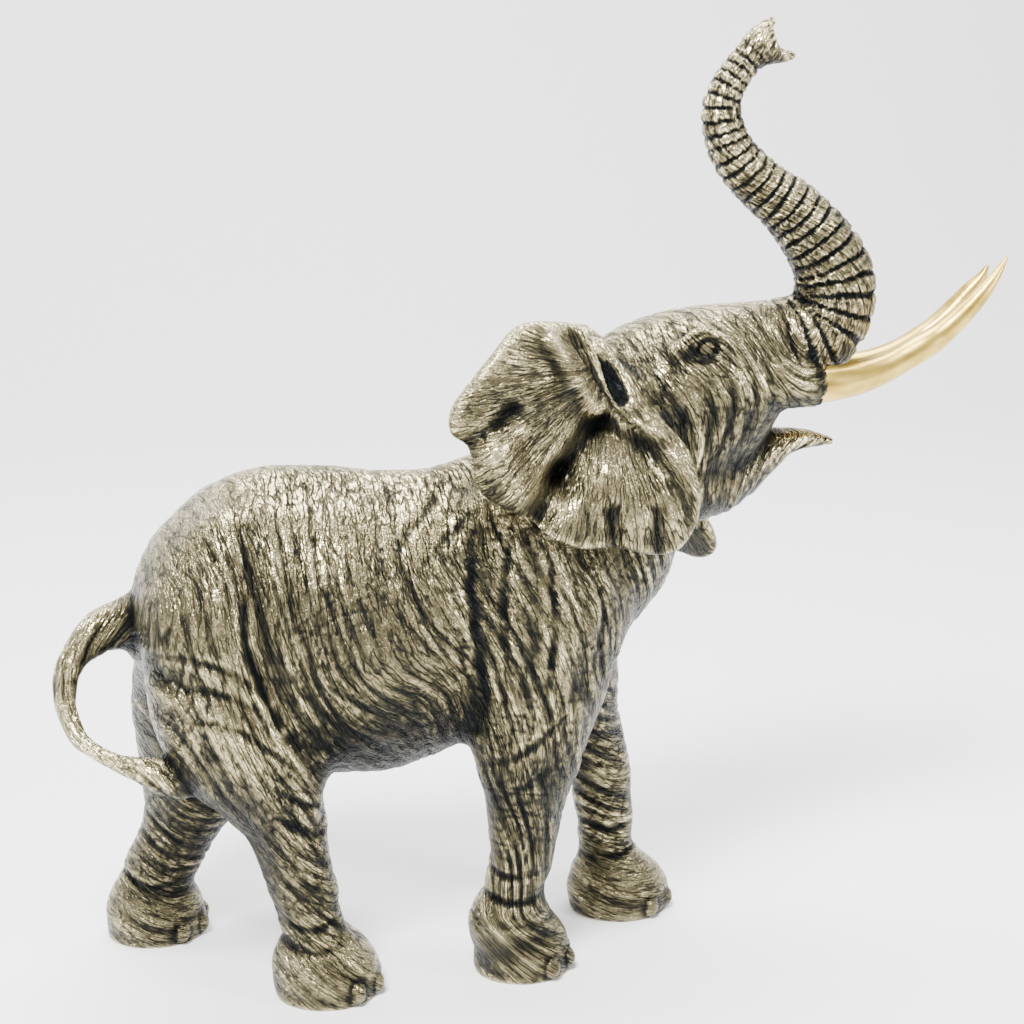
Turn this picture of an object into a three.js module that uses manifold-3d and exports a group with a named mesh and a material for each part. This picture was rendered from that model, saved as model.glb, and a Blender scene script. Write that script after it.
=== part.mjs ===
// Elephant figurine: a cast elephant walking with its trunk raised, and two gilt tusks
// let into sockets under the trunk.
//
// The casting is a free form. Its body, head, limbs and ears are soft solids described by
// distance functions that blend into one another. The field they make is sampled on a grid,
// its surface is drawn through the grid cells, and the faces are then thinned where the
// form is smooth. Millimetres, +X is the way the elephant walks, +Z is up.
import * as THREE from 'three';
import { mergeVertices } from 'three/addons/utils/BufferGeometryUtils.js';
import Module from 'manifold-3d';

// Driving dimensions.
const HEIGHT = 300; // soles to the tip of the raised trunk
const EAR_WALL = 4.4; // thickness of an ear
const TUSK_GAP = 0.3; // clearance round a tusk in its socket
const SOCKET_DEPTH = 10; // how far a tusk reaches inside the lip of its socket
const TOENAIL = 3.6; // half width of a toenail

// Fineness of the faceted solids.
const GRID = 1.6; // spacing of the sampling grid
const ROOM = 3 * GRID; // room between the forms and the grid's edge
const BODY_FACES = 8800; // faces left on the casting
const HEAD_FINENESS = 6; // how much more the head, ears and trunk count when faces are thinned
const TUSK_SIDES = 12;
const TUSK_SECTIONS = 14;

// Pose, proportions and carving are written as hundredths of the height.
// A station is [x, y, z, radius]; y below zero is the elephant's right side.
const PART = HEIGHT / 100;

const TORSO = [
  [-36, 0, 38, 3.9], [-32, 0, 39.4, 6.9], [-27.2, 0, 40.6, 11.3],
  [-21.4, 0, 38.8, 14.9], [-15, 0, 37.2, 15.5], [-8.4, 0, 39.1, 13.7],
  [-2.2, 0, 41.4, 12], [3.2, 0, 43, 11.2], [8.2, 0, 45, 9.9],
];
const NECK = [[4.6, 0, 45.3, 10.2], [9.4, 0, 51.1, 9.8], [14.2, 0, 57.2, 8.7], [17.7, 0, 60.7, 8.1]];
const SPINE = [
  [-34.5, 0, 43.9, 1.4], [-30.3, 0, 49.3, 1.9], [-25.1, 0, 52.2, 2],
  [-17, 0, 52, 1.8], [-8.7, 0, 51.6, 1.7], [-2.3, 0, 53.2, 1.7],
];
const SKULL = [[[18.6, 0, 61.3], [11.1, 8.8, 8.3]], [[22, 0, 63.4], [8.1, 7.1, 6.6]]]; // centre, radii
const FLANK = [[-13, 4.7, 35.4], [12.1, 8.4, 8.8]];
const SHOULDER = [[-0.5, 7.4, 50.5, 3.7], [2.1, 8.6, 45.9, 4.5], [4.1, 9, 39.6, 4.4]];
const HIP = [[-28.5, 6, 47.5, 4], [-30.8, 5.7, 41.8, 5.1]];

const TRUNK = [
  [23.8, 0, 64.6, 5.7], [28.1, 0, 65.6, 5.3], [31.9, 0, 66.6, 4.9], [34.4, 0, 68, 4.5],
  [35.5, 0, 70.7, 4.4], [35.4, 0, 73.1, 4.3], [34.6, 0, 75.3, 4], [32.6, 0, 78.1, 3.6],
  [30.2, 0, 80.6, 3.2], [28.1, 0, 82.2, 2.9], [26, 0, 84, 2.7], [24.2, 0, 86.1, 2.5],
  [23.2, 0, 88.3, 2.3], [22.8, 0, 90.6, 2.1], [23.3, 0, 92.6, 1.9], [24.4, 0, 94.4, 1.8],
  [25.7, 0, 96, 1.7], [26.9, 0, 97.1, 1.7],
];
const UPPER_FINGER = [[26.7, 0, 97.4, 1.5], [27.5, 0, 98.8, 0.9], [28.1, 0, 99.8, 0.3]];
const LOWER_FINGER = [[27.2, 0, 96.6, 1.5], [28.8, 0, 96.2, 1], [30, 0, 96, 0.5]];
const NOSTRIL = [29.3, 0, 97.9];

const JAW = [
  [19.2, 0, 52.5, 5.3], [23.5, 0, 52.5, 3.8], [27.2, 0, 54.2, 2.4],
  [30.9, 0, 55.8, 1.4], [33.9, 0, 55.8, 0.9], [35.7, 0, 55.6, 0.4],
];
const MOUTH = [[27.6, 0, 58, 0.5], [30.8, 0, 58.7, 1], [33.5, 0, 58.7, 1.2], [36.1, 0, 59, 1.5]];
const CHEEK = [[19.4, 4, 57.2, 4.4], [22.9, 4, 58, 3], [25.6, 3.7, 59, 1.6]];
const CHEEKBONE = [[13.2, 6.5, 61.8, 2.2], [18.4, 6.5, 62.5, 2], [24.1, 5.1, 62.1, 2.1]];
const BROW = [[16.9, 6.6, 66.7, 0.6], [19.6, 6.7, 68.6, 0.7], [22.5, 6, 67.2, 0.6]];
const EYE = [20.1, 6.6, 67.1];
const TUSK_SHEATH = [
  [[23.9, -4, 62.6, 3.1], [28.5, -4.6, 62.9, 2.8], [31.8, -4.7, 62.6, 2.4]],
  [[24.9, 4, 62.7, 3.2], [30, 4.6, 63.1, 2.9], [33, 4.7, 62.9, 2.4]],
];

const LEGS = [
  { // right hind
    stations: [
      [-29.5, -5.3, 38.6, 7.5], [-30, -6.8, 33.1, 7.5], [-28.3, -7.8, 28.5, 7.5],
      [-26, -8.3, 25, 6.4], [-24.6, -8.4, 21.5, 5], [-23.8, -8.6, 18.9, 4.3],
      [-23, -8.8, 14.8, 3.7], [-22, -8.8, 10.5, 3.5], [-21.3, -8.8, 7.3, 3.4], [-20.7, -8.8, 4.2, 4],
    ],
    joint: [[-22.4, -10.1, 25.8, 2.6], [-21.8, -10.1, 23, 2.2]],
    heel: [-22.4, -8.6, 3.4, 3.2],
    foot: [-19.9, -8.4, 5.6, 5.7],
    blend: 6.7,
  },
  { // left hind
    stations: [
      [-29.3, 5.3, 36, 7.8], [-31.5, 6.7, 28.9, 8], [-32.2, 7.8, 22.9, 6.8], [-33.3, 8.8, 17.3, 5.4],
      [-34.9, 9.1, 12.3, 4.2], [-36.5, 9.3, 8.9, 4], [-37.9, 9.4, 5.9, 3.9], [-37.8, 9.4, 3.2, 4.5],
    ],
    joint: [[-28.6, 9, 23.6, 2.4], [-29, 9, 20.4, 2]],
    heel: [-39.7, 9.4, 3.6, 3],
    foot: [-37.7, 9.9, 5.6, 5.4],
    blend: 6.7,
  },
  { // right fore
    stations: [
      [4.9, -5.1, 41.7, 7.7], [3.5, -6.7, 36.8, 7.7], [2.5, -7.6, 31.7, 6.9], [1.5, -7.8, 25.8, 5.8],
      [1.3, -7.8, 20.8, 4.4], [1.1, -7.4, 16.2, 3.8], [0.8, -7.1, 12.7, 3.5], [0.2, -6.9, 9.5, 3.3],
      [0, -6.7, 6.4, 4.1],
    ],
    joint: [[-1.3, -8.8, 27.4, 2.7], [-1.6, -8.8, 24.1, 1.7]],
    heel: [-1.4, -6.4, 5.2, 3.4],
    foot: [1.2, -5.7, 5.3, 5.7],
    blend: 5,
  },
  { // left fore
    stations: [
      [6.7, 5.1, 38.9, 6.8], [7.7, 6.7, 31.5, 6.2], [9.8, 7.9, 24.1, 4.7], [12.1, 8.3, 17.9, 3.7],
      [13, 8.4, 11.5, 3.3], [13.3, 8.4, 7.4, 3.1], [14.1, 8.4, 4.2, 3.9],
    ],
    joint: [[7.2, 9.2, 25.6, 2.4], [7.8, 9.2, 22.4, 1.6]],
    heel: [12.3, 8.6, 3.8, 3],
    foot: [14.8, 8.9, 5.8, 5.1],
    blend: 5,
  },
];
const FOOT_CENTRE = 1.7; // height of a foot's widest level
const TOE_ANGLES = [-58, -20, 18, 56]; // degrees from straight ahead

const TAIL = [
  [-39.2, 0, 38.8, 2.7], [-42.1, -0.7, 38, 2.3], [-44.2, -1.7, 36.5, 1.7], [-45.5, -2.7, 34.5, 1.5],
  [-45.9, -3.7, 32.3, 1.3], [-45.5, -4.7, 30.2, 1.1], [-44.4, -6.1, 28.2, 1], [-42.4, -7.4, 27, 0.9],
  [-40.2, -8.8, 26.3, 1], [-38.1, -9.8, 25.9, 1.4], [-35.9, -10.1, 25.1, 1.8], [-34.3, -10.1, 23.8, 1],
];

// An ear is a sheet over a plane: its outline, its root line and the swells and valleys of
// its face as [from, to, half width, rise], all in the plane's own directions.
const RIGHT_EAR = {
  origin: [0, -9.4, 0],
  along: [1, 0, 0],
  across: [0, 0, 1],
  outline: [
    [6.8, 69.8], [2.5, 70.8], [-0.8, 70.4], [-3.5, 67.8], [-5.6, 65.3], [-7.3, 62.8], [-7.3, 60.4],
    [-5.5, 58.9], [-5.2, 56], [-3.9, 54], [-1.8, 52.8], [0.5, 51.5], [2.6, 49.6], [5.5, 48.3],
    [8.3, 48.3], [10.9, 48], [13.5, 47.3], [16, 48.3], [17.7, 51.1], [17.8, 53.9], [17, 57.6],
    [14.6, 60.5], [11.7, 62.6], [9.9, 63.5], [8.9, 65.9],
  ],
  root: [[6.8, 69.6], [11.7, 62]],
  flare: { reach: 8.8, rise: 5, start: 0.3 },
  relief: [
    [[3.4, 69.2], [7.4, 62], 1.2, 1.3],
    [[7.6, 61.7], [13.5, 59.8], 1.3, 1.2],
    [[13.5, 59.8], [17.2, 55], 1.5, 1.1],
    [[-1.1, 66.1], [2, 65.8], 4, 1.6],
    [[-6.2, 58.8], [-1.2, 62.2], 1.1, -1.3],
    [[-3.2, 59.4], [-1.4, 54.6], 2.4, 1.7],
    [[8.1, 60.2], [4.1, 55.3], 1.5, -2.2],
    [[4.1, 55.3], [1.6, 51.6], 1.5, -1.9],
    [[9, 56.2], [12, 52.2], 3.3, 1.7],
    [[8.8, 51.8], [8.9, 47.8], 0.9, -0.8],
    [[13.2, 52], [13.4, 47.6], 0.9, -0.7],
    [[15.1, 56.9], [15.5, 50.7], 2, 0.6],
  ],
  fill: [[8.2, -6.1, 66.4, 2], [9.5, -7.6, 63.7, 2.4], [12.7, -8.2, 60.3, 2.2]],
};
const LEFT_EAR = {
  origin: [10, 7.1, 65.2],
  along: [0.54, 0.17, -0.82],
  across: [-0.5, 0.74, -0.42],
  outline: [
    [-1.3, -0.7], [-2, 4], [0.7, 9.4], [6.1, 13.5], [11.5, 14.2], [17.5, 13.1], [23.6, 10.5],
    [28.2, 6.1], [30.6, 1.7], [28.2, -1.3], [20.9, -2], [12.1, -1.7], [5.1, -2],
  ],
  root: [[0, -1], [24, -1]],
  flare: { reach: 12, rise: 1.4, start: 0 },
  relief: [
    [[4, 4], [5, 12.5], 1.7, 0.9],
    [[8.2, 3], [9.5, 14], 1.4, -0.8],
    [[13, 3], [14, 13], 2.2, 1],
    [[18.4, 3], [19.5, 12], 1.4, -0.8],
    [[23.5, 2], [25, 8], 2, 0.8],
  ],
  fill: [[9.4, 6.1, 66, 1.9], [12.4, 6.9, 62.5, 2.4], [15, 7.4, 58, 2]],
};
const HEAD_LEVEL = 60; // the head's fineness starts at this height
const EAR_CANAL = [[8.4, -10, 67.8, 0.7], [9.4, -9.9, 66.6, 1.2], [10.1, -10.2, 64.6, 1.2], [10.5, -10.8, 62.8, 0.7]];

// Folds seen from the side as [line through x and z, half width, depth, sides].
const BOTH = [-1, 1];
const RIGHT = [-1];
const FOLDS = [
  [[[-27.1, 49], [-27.6, 43.4], [-27.1, 38.2], [-24.7, 32.3], [-21.8, 27.3], [-19.6, 23.8]], 0.6, 0.75, BOTH],
  [[[-36.4, 37.3], [-31, 37.8], [-27.8, 36.3], [-24.7, 32.9]], 0.45, 0.42, BOTH],
  [[[-34.3, 34.3], [-30.7, 34.8], [-26.9, 34.4], [-24, 32.4]], 0.45, 0.42, BOTH],
  [[[-32.7, 31.5], [-29, 32], [-25.1, 31.8], [-22.6, 29.6], [-20.5, 26.7]], 0.45, 0.42, BOTH],
  [[[-3.8, 52.7], [-4.8, 46.6], [-4.3, 38.1], [-3.6, 31.7], [-4.7, 28.5]], 0.6, 0.6, BOTH],
  [[[-0.7, 51.4], [-1.8, 42.2], [-1.2, 33.7]], 0.5, 0.45, BOTH],
  [[[2.8, 47.5], [3.2, 39.9], [2.2, 32.5]], 0.5, 0.45, BOTH],
  [[[7.5, 46.1], [8.9, 40.7], [7.4, 34.9]], 0.5, 0.45, BOTH],
  [[[-4.9, 24.2], [0.3, 27], [5, 31.3]], 0.5, 0.4, RIGHT],
  [[[-3.1, 20.8], [1.9, 24.1], [6.4, 28]], 0.5, 0.35, RIGHT],
  [[[-25.8, 25.6], [-22.7, 22.7], [-19.6, 21.3]], 0.45, 0.38, RIGHT],
  [[[-26, 22.2], [-22.5, 19.6], [-19.5, 18.3]], 0.45, 0.35, RIGHT],
  [[[-25.3, 7.4], [-21.8, 6], [-17.6, 6.8]], 0.45, 0.35, RIGHT],
  [[[-3.9, 10], [-0.2, 9], [3.5, 9.9]], 0.45, 0.35, RIGHT],
];

// The trunk's ring folds close up towards its tip.
const RINGS = { first: 1.9, last: 1, depth: 0.46, width: 0.6 };

// A tusk runs from its shank in the socket to its point.
const TUSKS = [
  {
    name: 'tusk_right',
    lip: [33, -4.7, 62.5, 1.85],
    free: [
      [35.5, -4.5, 62.8, 1.8], [38.1, -4.3, 63.4, 1.7], [40.7, -4.2, 64.4, 1.5], [44.1, -4, 66.2, 1.45],
      [45.9, -3.8, 67.3, 1.3], [48.5, -3.6, 69.5, 1.1], [50.4, -3.4, 71.4, 0.9], [51.9, -3.2, 73.2, 0.6],
      [53.3, -2.9, 75.3, 0.15],
    ],
  },
  {
    name: 'tusk_left',
    lip: [34.3, 4.7, 62.9, 1.85],
    free: [
      [37.8, 4.5, 62.6, 1.8], [41.1, 4.3, 63, 1.7], [44.4, 4.1, 64.3, 1.55], [47.4, 3.9, 66.3, 1.4],
      [49.2, 3.7, 67.9, 1.3], [50.7, 3.5, 69.7, 1.1], [51.9, 3.3, 71.2, 0.9], [52.9, 3.1, 72.5, 0.55],
      [53.5, 2.9, 73.8, 0.15],
    ],
  },
];
const SHANK_TAPER = 0.72; // radius at the hidden end of a tusk over its radius at the lip

const PATINA = { color: 0x6b6048, roughness: 0.42, metalness: 0.85 };
const GILT = { color: 0xc9a24a, roughness: 0.3, metalness: 0.9 };

const scaled = (rows) => rows.map((row) => row.map((value) => value * PART));
const mirrored = (rows, side) => rows.map(([x, y, ...rest]) => [x, y * side, ...rest]);
const smooth = (t) => t * t * (3 - 2 * t);
const ramp = (value, from, to) => smooth(Math.min(1, Math.max(0, (value - from) / (to - from))));

// Points along a spline through the stations, radius included.
function along(stations, perSpan) {
  const centre = new THREE.CatmullRomCurve3(
    stations.map(([x, y, z]) => new THREE.Vector3(x, y, z)), false, 'catmullrom', 0.5,
  );
  const girth = new THREE.CatmullRomCurve3(
    stations.map((row) => new THREE.Vector3(row[3], 0, 0)), false, 'catmullrom', 0.5,
  );
  const count = (stations.length - 1) * perSpan;
  const points = [];
  for (let i = 0; i <= count; i += 1) {
    const p = centre.getPoint(i / count);
    points.push([p.x, p.y, p.z, Math.max(girth.getPoint(i / count).x, 0.1 * PART)]);
  }
  return points;
}

// Distance to a chain of tapered round links; its width across can differ from its height.
function chain(points, width = 1) {
  const shrink = Math.min(1, (1 + width) / 2);
  const links = points.slice(1).map((end, i) => {
    const start = points[i];
    const step = [end[0] - start[0], (end[1] - start[1]) / width, end[2] - start[2]];
    return { start, step, length2: step[0] ** 2 + step[1] ** 2 + step[2] ** 2 + 1e-9, grow: end[3] - start[3] };
  });
  return (x, y, z) => {
    let nearest = Infinity;
    for (const { start, step, length2, grow } of links) {
      const dx = x - start[0];
      const dy = (y - start[1]) / width;
      const dz = z - start[2];
      const dot = (dx * step[0] + dy * step[1] + dz * step[2]) / length2;
      const t = dot < 0 ? 0 : dot > 1 ? 1 : dot;
      const ex = dx - t * step[0];
      const ey = dy - t * step[1];
      const ez = dz - t * step[2];
      const d = Math.sqrt(ex * ex + ey * ey + ez * ez) - start[3] - grow * t;
      if (d < nearest) nearest = d;
    }
    return nearest * shrink;
  };
}

function ellipsoid([cx, cy, cz], [rx, ry, rz]) {
  return (x, y, z) => {
    const px = (x - cx) / rx;
    const py = (y - cy) / ry;
    const pz = (z - cz) / rz;
    const k0 = Math.hypot(px, py, pz) + 1e-6;
    const k1 = Math.hypot(px / rx, py / ry, pz / rz) + 1e-6;
    return k0 * (k0 - 1) / k1;
  };
}

function segmentDistance(a, b, [from, to]) {
  const ex = to[0] - from[0];
  const ey = to[1] - from[1];
  const dot = ((a - from[0]) * ex + (b - from[1]) * ey) / (ex * ex + ey * ey + 1e-9);
  const t = Math.min(1, Math.max(0, dot));
  return Math.hypot(a - from[0] - t * ex, b - from[1] - t * ey);
}

// Signed distance in a plane to a closed outline, below zero inside.
function outlineDistance(a, b, outline) {
  let nearest = Infinity;
  let inside = false;
  for (let i = 0; i < outline.length; i += 1) {
    const p = outline[i];
    const q = outline[(i + 1) % outline.length];
    nearest = Math.min(nearest, segmentDistance(a, b, [p, q]));
    const crosses = (p[1] > b) !== (q[1] > b);
    if (crosses && a < (q[0] - p[0]) * (b - p[1]) / (q[1] - p[1]) + p[0]) inside = !inside;
  }
  return inside ? -nearest : nearest;
}

// Distance to an ear: a sheet of even wall that swells away from its root line.
function earSheet({ origin, along: u, across: v, outline, root, flare, relief }) {
  const centre = new THREE.Vector3(...origin).multiplyScalar(PART);
  const alongDir = new THREE.Vector3(...u).normalize();
  const acrossDir = new THREE.Vector3(...v).addScaledVector(alongDir, -alongDir.dot(new THREE.Vector3(...v)));
  acrossDir.normalize();
  const outDir = new THREE.Vector3().crossVectors(alongDir, acrossDir);
  const rim = new THREE.CatmullRomCurve3(
    scaled(outline).map(([a, b]) => new THREE.Vector3(a, b, 0)), true, 'catmullrom', 0.5,
  ).getPoints(outline.length * 3).slice(0, -1).map((p) => [p.x, p.y]);
  const rootLine = scaled(root);
  const folds = relief.map(([from, to, width, rise]) => ({
    line: scaled([from, to]), width: width * PART, rise: rise * PART,
  }));
  const crest = (a, b) => {
    const away = segmentDistance(a, b, rootLine) / (flare.reach * PART);
    let rise = (flare.start + flare.rise * (1 - Math.exp(-away * away))) * PART;
    for (const { line, width, rise: swell } of folds) {
      const d = segmentDistance(a, b, line) / width;
      rise += swell * Math.exp(-d * d);
    }
    return rise;
  };
  const distance = (x, y, z) => {
    const p = new THREE.Vector3(x, y, z).sub(centre);
    const a = p.dot(alongDir);
    const b = p.dot(acrossDir);
    const overRim = Math.max(outlineDistance(a, b, rim) + EAR_WALL / 2, 0);
    const offSheet = Math.abs(p.dot(outDir) - crest(a, b)) * 0.88;
    return Math.hypot(overRim, offSheet) - EAR_WALL / 2;
  };
  const box = new THREE.Box3();
  for (const [a, b] of rim) {
    for (const c of [-2.5 * PART, 8 * PART]) {
      box.expandByPoint(centre.clone().addScaledVector(alongDir, a).addScaledVector(acrossDir, b)
        .addScaledVector(outDir, c));
    }
  }
  return { distance, box };
}

// The field: distances sampled on a grid, with soft joins and cuts.
// The forms come first, and the grid is laid round them with room to spare.
class Field {
  constructor(step) {
    this.step = step;
    this.forms = [];
  }

  // Joins a form to the field, or cuts it out, rounding the edge between them.
  join(form, blend, cut = false) {
    this.forms.push({ ...form, blend, cut });
  }

  sample() {
    const space = new THREE.Box3();
    for (const { box, blend, cut } of this.forms) {
      if (!cut) space.union(box.clone().expandByScalar(ROOM + blend * PART / 4));
    }
    this.low = space.min.toArray();
    this.size = space.getSize(new THREE.Vector3()).toArray().map((length) => Math.ceil(length / this.step) + 1);
    this.data = new Float32Array(this.size[0] * this.size[1] * this.size[2]).fill(10 * PART);
    for (const form of this.forms) this.add(form);
  }

  add({ distance, box, blend, cut }) {
    const k = Math.max(blend * PART, 1e-3);
    const sign = cut ? -1 : 1;
    this.sweep(box.clone().expandByScalar(k + 2 * PART), (value, x, y, z) => {
      const a = sign * value;
      const b = distance(x, y, z);
      const near = Math.max(k - Math.abs(a - b), 0) / k;
      return sign * (Math.min(a, b) - near * near * near * k / 6);
    });
  }

  index(i, j, k) {
    return (i * this.size[1] + j) * this.size[2] + k;
  }

  // Runs change(value, x, y, z) on every sample in the box.
  sweep(box, change) {
    const from = box.min.toArray().map((value, i) => Math.max(0, Math.floor((value - this.low[i]) / this.step)));
    const to = box.max.toArray().map((value, i) => (
      Math.min(this.size[i] - 1, Math.ceil((value - this.low[i]) / this.step))
    ));
    for (let i = from[0]; i <= to[0]; i += 1) {
      const x = this.low[0] + i * this.step;
      for (let j = from[1]; j <= to[1]; j += 1) {
        const y = this.low[1] + j * this.step;
        for (let k = from[2]; k <= to[2]; k += 1) {
          const n = this.index(i, j, k);
          this.data[n] = change(this.data[n], x, y, this.low[2] + k * this.step);
        }
      }
    }
  }
}

function limb(rows, perSpan = 4, width = 1) {
  const points = along(scaled(rows), perSpan);
  const box = new THREE.Box3();
  for (const [x, y, z, r] of points) {
    box.expandByPoint(new THREE.Vector3(x - r, y - r * width, z - r));
    box.expandByPoint(new THREE.Vector3(x + r, y + r * width, z + r));
  }
  return { distance: chain(points, width), box };
}

function ball(centre, radii) {
  const c = new THREE.Vector3(...centre).multiplyScalar(PART);
  const r = new THREE.Vector3(...radii).multiplyScalar(PART);
  return {
    distance: ellipsoid(c.toArray(), r.toArray()),
    box: new THREE.Box3(c.clone().sub(r), c.clone().add(r)),
  };
}

function addTrunkAndBody(field) {
  field.join(limb(TORSO, 4, 0.84), 0);
  field.join(limb(NECK, 4, 0.76), 4.7);
  for (const [centre, radii] of SKULL) field.join(ball(centre, radii), 2.7);
  field.join(limb(SPINE), 5);
  for (const side of BOTH) {
    field.join(limb(mirrored(SHOULDER, side)), 6);
    field.join(limb(mirrored(HIP, side)), 6.5);
    field.join(ball(mirrored([FLANK[0]], side)[0], FLANK[1]), 4.7);
  }
  field.join(limb(TRUNK), 2.7);
  field.join(limb(UPPER_FINGER), 1.3);
  field.join(limb(LOWER_FINGER), 1.3);
}

function addFace(field) {
  for (const sheath of TUSK_SHEATH) field.join(limb(sheath), 2.7);
  for (const side of BOTH) {
    field.join(limb(mirrored(CHEEK, side)), 3.4);
    field.join(limb(mirrored(CHEEKBONE, side)), 2.7);
    field.join(limb(mirrored(BROW, side)), 1.9);
  }
  field.join(limb(JAW, 4, 1.5), 2.7);
}

function addLegs(field) {
  for (const { stations, joint, heel, foot, blend } of LEGS) {
    field.join(limb(stations, 6), blend);
    field.join(limb(joint), 2.7);
    const [x, y, radius, height] = foot;
    field.join(ball(heel.slice(0, 3), [heel[3], heel[3], heel[3]]), 2);
    field.join(ball([x, y, FOOT_CENTRE], [radius, radius * 0.95, height]), 1.7);
    for (const angle of TOE_ANGLES) {
      const turn = THREE.MathUtils.degToRad(angle);
      const reach = radius * 0.9;
      const nail = TOENAIL / PART;
      const toe = [x + reach * Math.cos(turn), y + reach * Math.sin(turn), FOOT_CENTRE];
      field.join(ball(toe, [nail * 0.8, nail, nail * 1.2]), 0.4);
    }
  }
  field.join(limb(TAIL), 1.7);
}

function addEars(field) {
  for (const ear of [RIGHT_EAR, LEFT_EAR]) {
    field.join(earSheet(ear), 1);
    field.join(limb(ear.fill), 3);
  }
}

function cutHollows(field) {
  for (const side of BOTH) {
    const [x, y, z] = [EYE[0], EYE[1] * side, EYE[2]];
    field.join(ball([x, y * 1.12, z], [1.4, 1.1, 0.8]), 0.7, true);
    field.join(ball([x, y * 0.96, z], [0.9, 1, 0.65]), 0.2);
  }
  field.join(limb(EAR_CANAL), 0.7, true);
  field.join(limb(MOUTH, 4, 2.2), 0.5, true);
  field.join(ball(NOSTRIL, [1.9, 1.1, 1.3]), 0.7, true);
}

// Ring folds: grooves whose spacing shrinks evenly along the trunk.
function cutTrunkRings(field) {
  const points = along(scaled(TRUNK), 6).slice(6);
  const form = limb(TRUNK);
  const lengths = [0];
  for (let i = 1; i < points.length; i += 1) {
    const [p, q] = [points[i - 1], points[i]];
    lengths.push(lengths[i - 1] + Math.hypot(q[0] - p[0], q[1] - p[1], q[2] - p[2]));
  }
  const total = lengths[lengths.length - 1];
  const [first, shrink] = [RINGS.first * PART, (RINGS.first - RINGS.last) * PART];
  field.sweep(form.box.clone().expandByScalar(PART), (value, x, y, z) => {
    if (Math.abs(value) > 2 * PART) return value;
    let nearest = Infinity;
    let place = 0;
    let radius = 0;
    for (let i = 1; i < points.length; i += 1) {
      const [p, q] = [points[i - 1], points[i]];
      const [ex, ey, ez] = [q[0] - p[0], q[1] - p[1], q[2] - p[2]];
      const dot = ((x - p[0]) * ex + (y - p[1]) * ey + (z - p[2]) * ez) / (ex * ex + ey * ey + ez * ez);
      const t = Math.min(1, Math.max(0, dot));
      const d = Math.hypot(x - p[0] - t * ex, y - p[1] - t * ey, z - p[2] - t * ez);
      if (d < nearest) {
        nearest = d;
        place = lengths[i - 1] + t * (lengths[i] - lengths[i - 1]);
        radius = p[3] + t * (q[3] - p[3]);
      }
    }
    const u = place / total;
    const phase = Math.log(first / (first - shrink * u)) * total / shrink;
    const groove = 1 - Math.min(1, Math.abs(Math.sin(Math.PI * phase)) / RINGS.width);
    const onTrunk = 1 - ramp(nearest - radius, 0.6 * PART, 1.6 * PART);
    const fade = ramp(u, 0.01, 0.14) * (1 - ramp(u, 0.93, 1));
    const girth = 0.55 + 0.45 * Math.min(1, radius / (4 * PART));
    return value + RINGS.depth * PART * smooth(groove) * onTrunk * fade * girth;
  });
}

// Folds pressed in from the side; each fades out at its ends and near the middle plane.
function cutFolds(field) {
  for (const [line, width, depth, sides] of FOLDS) {
    const path = new THREE.SplineCurve(scaled(line).map(([a, b]) => new THREE.Vector2(a, b)))
      .getPoints(line.length * 4);
    const w = width * PART;
    const box = new THREE.Box2().setFromPoints(path).expandByScalar(3 * w);
    for (const side of sides) {
      const [near, far] = [Math.min(0, side * 20 * PART), Math.max(0, side * 20 * PART)];
      const region = new THREE.Box3(
        new THREE.Vector3(box.min.x, near, box.min.y), new THREE.Vector3(box.max.x, far, box.max.y),
      );
      field.sweep(region, (value, x, y, z) => {
        if (Math.abs(value) > 2 * PART) return value;
        let best = 0;
        for (let i = 1; i < path.length; i += 1) {
          const d = segmentDistance(x, z, [path[i - 1].toArray(), path[i].toArray()]) / w;
          const end = Math.min(i, path.length - i) / path.length;
          best = Math.max(best, Math.exp(-d * d) * Math.min(1, end * 6));
        }
        return value + depth * PART * best * ramp(side * y, 1.3 * PART, 4 * PART);
      });
    }
  }
}

// Where two parts of the form would touch at one edge or corner of a cell, the sample
// nearest the surface changes side, so that the surface stays a clean skin.
function untangle(field) {
  const [nx, ny, nz] = field.size;
  const { data } = field;
  const strides = [ny * nz, nz, 1];
  const corners = [0, 1, 2, 3, 4, 5, 6, 7].map((c) => (
    (c & 1) * strides[0] + ((c >> 1) & 1) * strides[1] + (c >> 2) * strides[2]
  ));
  const faces = [[0, 1, 3, 2], [4, 5, 7, 6], [0, 1, 5, 4], [2, 3, 7, 6], [0, 2, 6, 4], [1, 3, 7, 5]];
  const joined = (mask) => {
    let reached = mask & -mask;
    for (let round = 0; round < 7; round += 1) {
      for (let c = 0; c < 8; c += 1) {
        if (!((reached >> c) & 1)) continue;
        reached |= mask & ((1 << (c ^ 1)) | (1 << (c ^ 2)) | (1 << (c ^ 4)));
      }
    }
    return reached === mask;
  };
  const clean = Array.from({ length: 256 }, (_, mask) => (
    joined(mask) && joined(255 ^ mask) && faces.every(([a, b, c, d]) => {
      const [p, q, r, s] = [a, b, c, d].map((n) => (mask >> n) & 1);
      return !(p === r && q === s && p !== q);
    })
  ));
  let changed = true;
  for (let round = 0; changed && round < 20; round += 1) {
    changed = false;
    for (let i = 0; i < nx - 1; i += 1) {
      for (let j = 0; j < ny - 1; j += 1) {
        for (let k = 0; k < nz - 1; k += 1) {
          const base = field.index(i, j, k);
          let mask = 0;
          for (let c = 0; c < 8; c += 1) if (data[base + corners[c]] < 0) mask |= 1 << c;
          if (clean[mask]) continue;
          const near = corners.map((c) => base + c).sort((p, q) => Math.abs(data[p]) - Math.abs(data[q]));
          data[near[round % 3]] = data[near[round % 3]] < 0 ? 0.01 : -0.01;
          changed = true;
        }
      }
    }
  }
}

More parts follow.
